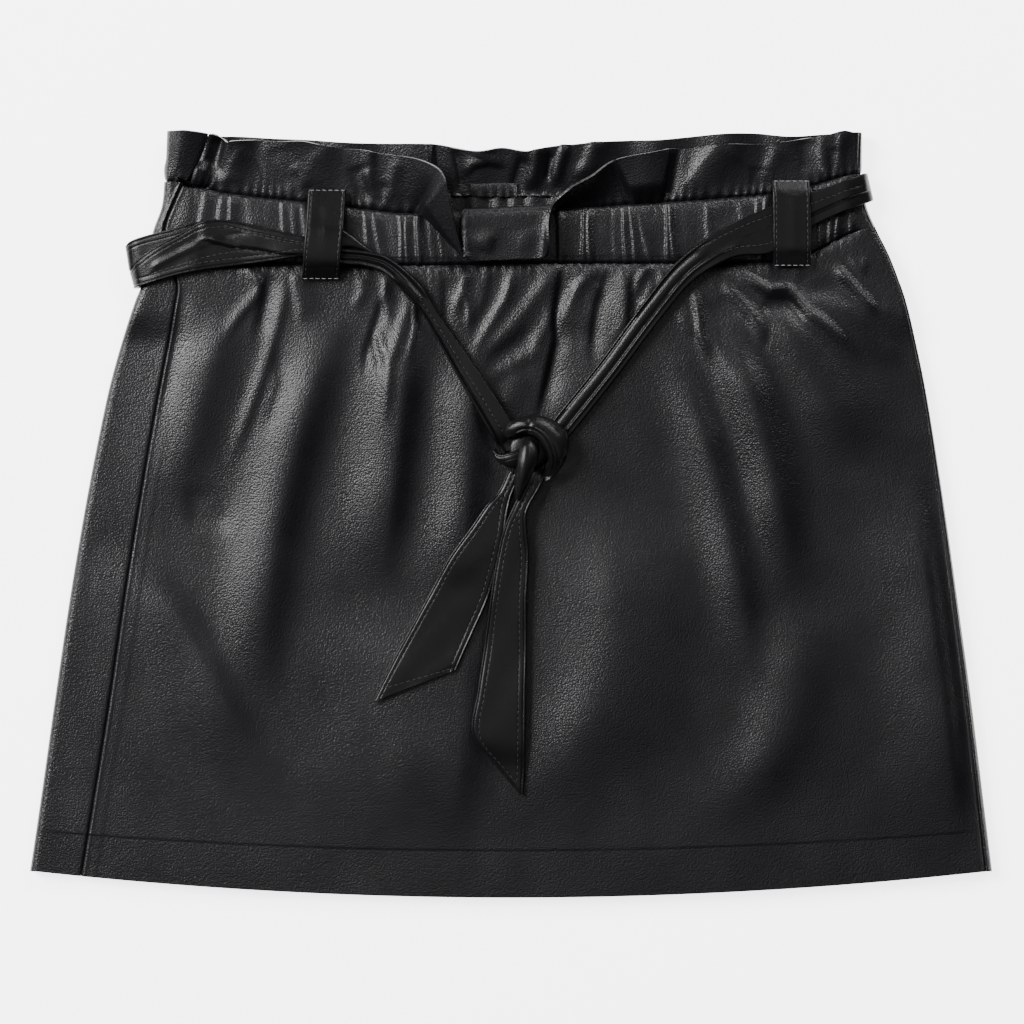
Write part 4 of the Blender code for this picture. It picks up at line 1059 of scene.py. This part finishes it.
def cloth_piece(name, surface, columns, rows, wall, node):
    """A cloth piece: a grid laid on a surface, given its thickness inwards."""
    zones, places = (np.array(values) for values in zip(*columns))
    piece, column, row = start_grid(name, len(columns) - 1, len(rows) - 1)
    place_points(piece, surface(zones[column], places[column], np.array(rows)[row]))
    solidify = piece.modifiers.new("wall", "SOLIDIFY")
    solidify.thickness = wall
    solidify.offset = -1.0
    solidify.use_even_offset = True
    pick(piece)
    bpy.ops.object.modifier_apply(modifier="wall")
    return finish_piece(piece, "skirt_coated_leather", node)


def front_columns(count, middle=0.0):
    """Columns across the front, closer together at both seams and, by a share, in the middle."""
    even = np.linspace(0.0, 1.0, count)
    even = even + middle * np.sin(2 * math.pi * even) / (2 * math.pi)
    at_seam = (0.0, 0.001, 0.002, 0.0033, 0.005, 0.0075, 0.010, 0.0125, 0.0145, 0.0165)
    shares = [*at_seam, *(0.019 + 0.972 * even), 0.9932, 0.9951, 0.9966, 0.9978, 0.9989, 1.0]
    turn = (87.5, 85.0, 82.0, 79.0, 76.0, 73.0, 70.0, 67.5, 65.5, 63.5, RIGHT_SEAM_DEG)
    return [(FRONT, s) for s in shares] + [(RIGHT, d) for d in turn]


def back_columns(count, wrap_count=24, turn_step=12.0):
    """Columns from the right seam round the back and the left fold to the left seam."""
    at_seam = (RIGHT_SEAM_DEG - 0.7, 60.0, 58.0, 55.0, 51.5, 47.0, 41.0)
    turn = [(RIGHT, d) for d in (*at_seam, *np.arange(32.0, -89.0, -turn_step))]
    back = [(BACK, i / count) for i in range(count + 1)]
    left = [(LEFT, d) for d in np.arange(270.0 - turn_step, 91.0, -turn_step)]
    wrap = [(WRAP, 1 - (1 - i / wrap_count) ** 1.5) for i in range(wrap_count + 1)]
    return turn + back + left + wrap


def front_and_back(part, node, surface, rows, wall, counts, middle=0.0):
    """The front and the back piece of one part of the skirt, in place of its two solids."""
    columns = (front_columns(counts[0], middle), back_columns(counts[1]))
    return [
        cloth_piece(f"{side}_{part}", surface, across, rows, wall, f"{node}_{side}")
        for side, across in zip(("front", "back"), columns)
    ]


def across_steps(width):
    """Distances across the top of a strap, close together at its edges."""
    squeeze = min(1.0, width / 2 / FULL_EDGES)
    edge = [a * squeeze for a in EDGE_STEPS]
    middle = [blend(edge[-1], width - edge[-1], i / MIDDLE_STEPS) for i in range(1, MIDDLE_STEPS)]
    return np.array(edge + middle + [width - a for a in reversed(edge)])


def strap_steps(middle, step):
    """Where to sample a strap so that its sections lie about step apart."""
    at = [0.0]
    for i, span in enumerate(np.linalg.norm(np.diff(middle, axis=0), axis=1)):
        count = max(2, int(span / step))
        at += [i + (k + 1) / count for k in range(count)]
    return np.array(at)


def run_along(points):
    """Distance of each point from the first, along a path."""
    return np.concatenate([[0], np.cumsum(np.linalg.norm(np.diff(points, axis=0), axis=1))])


def at_run(run, key, values):
    """A point or direction part of the way along a path."""
    return np.array([np.interp(key, run, values[:, k]) for k in range(3)])


class StrapForm:
    """A strap between two edges, sampled along its length."""

    def __init__(self, lower, upper, half, step=1.1, marks=(), hems=(), wave=0.0, dome=0.0):
        lower, upper, half = (np.asarray(values, float) for values in (lower, upper, half))
        at = strap_steps((lower + upper) / 2, step)
        self.low, self.high = along_curve(lower, at), along_curve(upper, at)
        self.half = along_curve(half[:, None], at)[:, 0]
        middle = (self.low + self.high) / 2
        self.run = run_along(middle)
        side = self.high - self.low
        self.width = np.linalg.norm(side, axis=1)
        normal = np.cross(side, np.gradient(middle, axis=0))
        self.normal = normal / np.linalg.norm(normal, axis=1)[:, None]
        if self.normal[middle[:, 2] > 5.0, 2].sum() < 0.0:
            self.normal = -self.normal
        self.marks, self.hems, self.wave, self.dome = marks, hems, wave, dome

    def height(self, run, width, half, share):
        """Height of the top above the middle of the thickness."""
        from_low, from_high = share * width, (1 - share) * width
        near = np.minimum(from_low, from_high)
        roll = np.clip(near / 0.7, 0.0, 1.0)
        rise = half * (-0.25 + 1.25 * np.sqrt(1 - (1 - roll) ** 2))
        rise = rise + self.dome * np.sin(math.pi * share) ** 0.7
        waves = np.sin(run / 13.0 + from_low / 6.1) * np.sin(run / 31.0 + 1.3 + from_low / 9.0)
        rise = rise + self.wave * waves * smooth_step(near / 3.0)
        edges = {"low": from_low, "high": from_high, "end": abs(run - self.run[-1]) + 0 * share}
        for hem in self.hems:
            rise = rise - 0.26 * bell(edges[hem] - RIM_LINE, 0.3) - 0.13 * bell(edges[hem] - STITCH_LINE, 0.3)
        position = run / self.run[-1]
        for mark in self.marks:
            along, across = zip(*mark.path)
            fade = smooth_step((position - along[0]) / 0.05 + 1)
            fade = fade * smooth_step((along[-1] - position) / 0.05 + 1)
            off = (share - np.interp(position, along, across)) * width
            if mark.kind == "fold":
                shape = smooth_step(off / mark.width + 0.5) - 0.5
            else:
                shape = bell(off, mark.width) * (1.0 if mark.kind == "ridge" else -1.0)
            rise = rise + fade * mark.size * shape
        return rise

    def point(self, run, share, lift=0.0):
        """A point of the top, lifted out of it."""
        low, high, normal = (at_run(self.run, run, field) for field in (self.low, self.high, self.normal))
        half, width = np.interp(run, self.run, self.half), np.interp(run, self.run, self.width)
        rise = self.height(run, width, half, np.array([share]))[0]
        return low + (high - low) * share + normal * (rise + lift)

    def rings(self):
        """Closed sections along the strap, with a flat one at each end that closes it."""
        flats, rings = [], []
        for run, width, half, low, high, normal in zip(
            self.run, self.width, self.half, self.low, self.high, self.normal
        ):
            over = across_steps(width) / width
            share = np.concatenate([over, np.linspace(0.96, 0.04, UNDER_STEPS)])
            rise = np.concatenate([self.height(run, width, half, over), np.full(UNDER_STEPS, -half)])
            flats.append(low + (high - low) * share[:, None])
            rings.append(flats[-1] + normal * rise[:, None])
        rings = np.array([flats[0], *rings, flats[-1]])
        return np.concatenate([rings, rings[:, :1]], axis=1)


def strap_piece(name, form, node):
    """The leather of a strap: its sections joined into one closed shell."""
    rings = form.rings()
    piece, column, row = start_grid(name, rings.shape[1] - 1, rings.shape[0] - 1)
    place_points(piece, rings[row, column])
    bpy.ops.object.mode_set(mode="EDIT")
    bpy.ops.mesh.select_all(action="SELECT")
    bpy.ops.mesh.remove_doubles(threshold=0.000002)
    bpy.ops.mesh.fill_holes(sides=0)
    bpy.ops.mesh.normals_make_consistent(inside=False)
    bpy.ops.object.mode_set(mode="OBJECT")
    return finish_piece(piece, "belt_coated_leather", node)


def strap_form(stations, **details):
    """A strap through stations, resting on the front wherever a station sets no height."""
    lower, upper = [], []
    for s in stations:
        z = resting_z((s.lower_x, s.lower_y), (s.upper_x, s.upper_y), s.thick) if s.z is None else s.z
        lower.append((s.lower_x, s.lower_y, z))
        upper.append((s.upper_x, s.upper_y, z))
    return StrapForm(lower, upper, [s.thick / 2 for s in stations], **details)


def stitch_row(name, points, normals, material="dark_polyester_thread"):
    """A row of stitches through points, each half sunk into the cloth: one is modelled, the rest copied."""
    settings = cloth_settings()
    points, normals = np.asarray(points, float) * MM, np.asarray(normals, float)
    run = run_along(points)
    pick()
    bpy.ops.mesh.primitive_uv_sphere_add(segments=6, ring_count=5, radius=1.0, rotation=(0, math.pi / 2, 0))
    stitch = bpy.context.active_object
    bpy.ops.object.transform_apply(location=True, rotation=True, scale=True)
    stitch.scale = (settings.stitch_length / 2, settings.thread / 2, settings.thread / 2)
    bpy.ops.object.transform_apply(location=False, rotation=False, scale=True)
    half = settings.stitch_length / 2
    row = bmesh.new()
    for centre in np.arange(settings.stitch_pitch / 2, run[-1], settings.stitch_pitch):
        start, end = (at_run(run, centre + d, points) for d in (-half, half))
        along = Vector(end - start).normalized()
        across = Vector(at_run(run, centre, normals)).cross(along).normalized()
        turn = Matrix((along, across, along.cross(across))).transposed().to_4x4()
        copy = stitch.data.copy()
        copy.transform(Matrix.Translation((start + end) / 2) @ turn)
        row.from_mesh(copy)
        bpy.data.meshes.remove(copy)
    row.to_mesh(stitch.data)
    row.free()
    stitch.name = stitch.data.name = name
    stitch.data.materials.clear()
    stitch.data.materials.append(material_named(material))
    stitch.data.shade_smooth()
    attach(stitch, BODY)
    return stitch


def strap_stitches(name, form):
    """Stitches along a strap's hems and marks."""
    length = form.run[-1]
    rows = []
    for mark in form.marks:
        if mark.kind == "stitch":
            along, across = zip(*mark.path)
            at = np.linspace(along[0], along[-1], 60)
            rows.append((at * length, np.interp(at, along, across)))
    at = np.linspace(0.0, length - (STITCH_LINE if "end" in form.hems else 0.0), 60)
    inset = STITCH_LINE / np.interp(at, form.run, form.width)
    rows += [(at, inset if hem == "low" else 1 - inset) for hem in form.hems if hem != "end"]
    if "end" in form.hems:
        shares = np.linspace(0.12, 0.9, 30)
        points = [form.point(length - STITCH_LINE, share, STITCH_LIFT) for share in shares]
        stitch_row(f"{name}_stitches_end", points, [(0, 0, 1)] * len(points))
    for number, (at, shares) in enumerate(rows):
        kept = [(run, share) for run, share in zip(at, shares) if 0.06 < share < 0.94]
        points = [form.point(run, share, STITCH_LIFT) for run, share in kept]
        if len(points) > 2:
            normals = [at_run(form.run, run, form.normal) for run, _ in kept]
            stitch_row(f"{name}_stitches_{number}", points, normals)


def sewn_strap(name, stations, **details):
    """A stretch of the belt with its stitches, in place of the solid of that name."""
    form = strap_form(stations, **details)
    strap_piece(name + "_leather", form, name)
    strap_stitches(name, form)


def softbox(name, place, size, power):
    """A rectangular light that faces the skirt."""
    light = bpy.data.lights.new(name, "AREA")
    light.shape = "RECTANGLE"
    light.size, light.size_y = size
    light.energy = power
    holder = bpy.data.objects.new(name, light)
    holder.location = place
    holder.rotation_euler = Vector(place).to_track_quat("Z", "Y").to_euler()
    bpy.context.scene.collection.objects.link(holder)


# ---------------------------------------------------------------------------
# Operators
# ---------------------------------------------------------------------------
class SKIRT_OT_body(bpy.types.Operator):
    """Makes the front and back body panels"""
    bl_idname = "skirt.body"
    bl_label = "Body panels"

    def execute(self, context):
        wall = cloth_settings().wall
        rows = [PANEL_TOP * (1.0 - (i / PANEL_ROWS) ** 1.35) for i in range(PANEL_ROWS + 1)]
        low, high = HEM_ROWS_CLEAR
        rows = sorted([row for row in rows if not low < row < high] + list(np.arange(*HEM_ROWS)))
        front, back = front_and_back("panel", "skirt", body_surface, rows, wall, PANEL_COLUMNS, 0.35)
        return {"FINISHED"}


class SKIRT_OT_waistband(bpy.types.Operator):
    """Makes the gathered waistband"""
    bl_idname = "skirt.waistband"
    bl_label = "Waistband"

    def execute(self, context):
        wall = cloth_settings().wall
        rows = [blend(1.0005, 1.9995, i / BAND_ROWS) for i in range(BAND_ROWS + 1)]
        front, back = front_and_back("waistband", "waistband", band_surface, rows, wall, BAND_COLUMNS)
        return {"FINISHED"}


class SKIRT_OT_frill(bpy.types.Operator):
    """Makes the paper-bag frill above the waistband and the tab inside the neck"""
    bl_idname = "skirt.frill"
    bl_label = "Frill"

    def execute(self, context):
        wall = cloth_settings().frill_wall
        rows = [(i / FRILL_ROWS) ** 1.2 for i in range(FRILL_ROWS + 1)]
        front, back = front_and_back("frill", "frill", frill_surface, rows, wall, FRILL_COLUMNS)
        seam = ring(np.array([BACK, BACK]), np.array([0.0, 1.0]), np.array([2.0, 2.0]), no_relief)[0]
        right_x, left_x = seam[:, 0]
        across = reversed(np.linspace(TAB_FROM_X, TAB_TO_X, 40))
        columns = [(BACK, (right_x - x) / (right_x - left_x)) for x in across]
        rows = np.linspace(0.0, 1.0, 14)
        cloth_piece("neck_tab_cloth", tab_surface, columns, rows, TAB_WALL * MM, "neck_tab")
        return {"FINISHED"}


class SKIRT_OT_belt(bpy.types.Operator):
    """Makes the stretches of the tie belt"""
    bl_idname = "skirt.belt"
    bl_label = "Belt"

    def execute(self, context):
        both = ("low", "high")
        sewn_strap("belt_left_turn", BELT_LEFT_TURN, marks=LEFT_TURN_MARKS, hems=both, wave=0.25)
        strap_piece("belt_left_return", strap_form(LEFT_RETURN, hems=("high",)), "belt_left_turn")
        sewn_strap("belt_back", BELT_BACK, hems=both)
        sewn_strap("belt_right_turn", BELT_RIGHT_TURN, marks=RIGHT_TURN_MARKS, wave=0.15)
        sewn_strap("belt_left_front", BELT_LEFT_FRONT, marks=LEFT_FRONT_MARKS, wave=0.15)
        strap_piece("belt_left_fan", strap_form(LOOP_FAN, dome=0.8), "belt_left_front")
        sewn_strap("belt_right_front", BELT_RIGHT_FRONT, marks=RIGHT_FRONT_MARKS, wave=0.15)
        sewn_strap("belt_tail_left", TAIL_LEFT, hems=(*both, "end"), wave=0.3)
        sewn_strap("belt_tail_right", TAIL_RIGHT, hems=both, wave=0.3)
        return {"FINISHED"}


class SKIRT_OT_knot(bpy.types.Operator):
    """Makes the knot from the bands that wrap round each other"""
    bl_idname = "skirt.knot"
    bl_label = "Knot"

    def execute(self, context):
        bands = (
            ("knot_wrap", KNOT_WRAP, 1.6, {"dome": 2.6, "marks": KNOT_WRAP_MARKS}),
            ("knot_front", KNOT_FRONT, 1.5, {"dome": 2.6, "marks": KNOT_FRONT_MARKS}),
            ("knot_left_end", KNOT_LEFT_END, 1.2, {"dome": 1.0, "hems": ("high",)}),
        )
        for name, stations, half, details in bands:
            inner, outer = zip(*stations)
            strap_piece(name, StrapForm(inner, outer, [half] * len(inner), step=0.5, **details), "belt_knot")
        pick()
        bpy.ops.mesh.primitive_uv_sphere_add(segments=32, ring_count=16, radius=1.0)
        core = context.active_object
        core.name = "knot_core"
        for vertex in core.data.vertices:
            x, y, z = vertex.co
            side = math.sqrt(max(1.0 - math.hypot(x, y) ** 3, 0.0))
            z = math.copysign(side, z) if abs(z) > 0.001 else 0.0
            size = Vector((x * KNOT_CORE_RADIUS, y * KNOT_CORE_RADIUS, z * KNOT_CORE_RISE))
            vertex.co = (Vector(KNOT_MIDDLE) + size) * MM
        finish_piece(core, "belt_coated_leather", "belt_knot")
        return {"FINISHED"}


class SKIRT_OT_belt_loops(bpy.types.Operator):
    """Makes the two belt loops"""
    bl_idname = "skirt.belt_loops"
    bl_label = "Belt loops"

    def execute(self, context):
        middle = LOOP_THICK / 2
        for name, stations in (("belt_loop_left", LEFT_LOOP), ("belt_loop_right", RIGHT_LOOP)):
            lower, upper = (
                [(s.x + side * LOOP_WIDTH, s.y, s.z + middle) for s in stations] for side in (-0.5, 0.5)
            )
            form = StrapForm(lower, upper, [middle] * len(stations), step=0.7, marks=LOOP_MARKS)
            strap_piece(name + "_leather", form, name)
            strap_stitches(name, form)
            for number, run in enumerate((LOOP_END_STITCH, form.run[-1] - LOOP_END_STITCH)):
                # The stitches across each end are made in the lighter thread, a painted highlight
                points = [form.point(run, share, END_STITCH_LIFT) for share in np.linspace(0.02, 0.98, 24)]
                normals = [(0, 0, 1)] * len(points)
                stitch_row(f"{name}_end_stitches_{number}", points, normals, "light_polyester_thread")
        return {"FINISHED"}


class SKIRT_OT_studio(bpy.types.Operator):
    """Makes the surface, the lights and the camera"""
    bl_idname = "skirt.studio"
    bl_label = "Studio"

    def execute(self, context):
        settings = context.scene.skirt_studio
        pick()
        bpy.ops.mesh.primitive_plane_add(size=FLOOR_SIZE, location=(0.0, 0.0, -FLOOR_GAP))
        floor = context.active_object
        floor.name = "floor"
        floor.data.materials.append(seamless_paper("seamless_paper", settings.floor, settings.glow))

        world = bpy.data.worlds.new("studio")
        world.use_nodes = True
        world.node_tree.nodes["Background"].inputs["Color"].default_value = (1.0, 1.0, 1.0, 1.0)
        world.node_tree.nodes["Background"].inputs["Strength"].default_value = ROOM_LIGHT
        context.scene.world = world
        for box in SOFTBOXES:
            softbox(f"{box.name}_softbox", box.place, box.size, getattr(settings, box.name))

        camera = bpy.data.cameras.new("camera")
        camera.lens = settings.lens
        camera.sensor_width = SENSOR
        holder = bpy.data.objects.new("camera", camera)
        distance = settings.picture * settings.lens / SENSOR
        holder.location = (CAMERA_X, CAMERA_Y, SKIRT_TOP + distance)
        context.scene.collection.objects.link(holder)
        context.scene.camera = holder
        return {"FINISHED"}


class SKIRT_PT_sidebar(bpy.types.Panel):
    """Lists the steps of the skirt"""
    bl_idname = "SKIRT_PT_sidebar"
    bl_label = "Leather mini skirt"
    bl_space_type = "VIEW_3D"
    bl_region_type = "UI"
    bl_category = "Skirt"

    def draw(self, context):
        scene = context.scene
        for group in (scene.skirt_cloth, scene.skirt_leather, scene.skirt_studio):
            for name in group.bl_rna.properties.keys():
                if name not in ("rna_type", "name"):
                    self.layout.prop(group, name)
        for step in STEPS:
            self.layout.operator(step.bl_idname)


STEPS = (
    SKIRT_OT_body, SKIRT_OT_waistband, SKIRT_OT_frill, SKIRT_OT_belt, SKIRT_OT_knot, SKIRT_OT_belt_loops,
    SKIRT_OT_studio,
)
GROUPS = {"skirt_cloth": SkirtCloth, "skirt_leather": SkirtLeather, "skirt_studio": SkirtStudio}


def register():
    for item in (*GROUPS.values(), *STEPS, SKIRT_PT_sidebar):
        bpy.utils.register_class(item)
    for name, group in GROUPS.items():
        setattr(bpy.types.Scene, name, bpy.props.PointerProperty(type=group))


def unregister():
    for name in GROUPS:
        delattr(bpy.types.Scene, name)
    for item in reversed((*GROUPS.values(), *STEPS, SKIRT_PT_sidebar)):
        bpy.utils.unregister_class(item)


def main():
    register()
    bpy.ops.skirt.body()
    bpy.ops.skirt.waistband()
    bpy.ops.skirt.frill()
    bpy.ops.skirt.belt()
    bpy.ops.skirt.knot()
    bpy.ops.skirt.belt_loops()
    bpy.ops.skirt.studio()


if __name__ == "__main__":
    main()
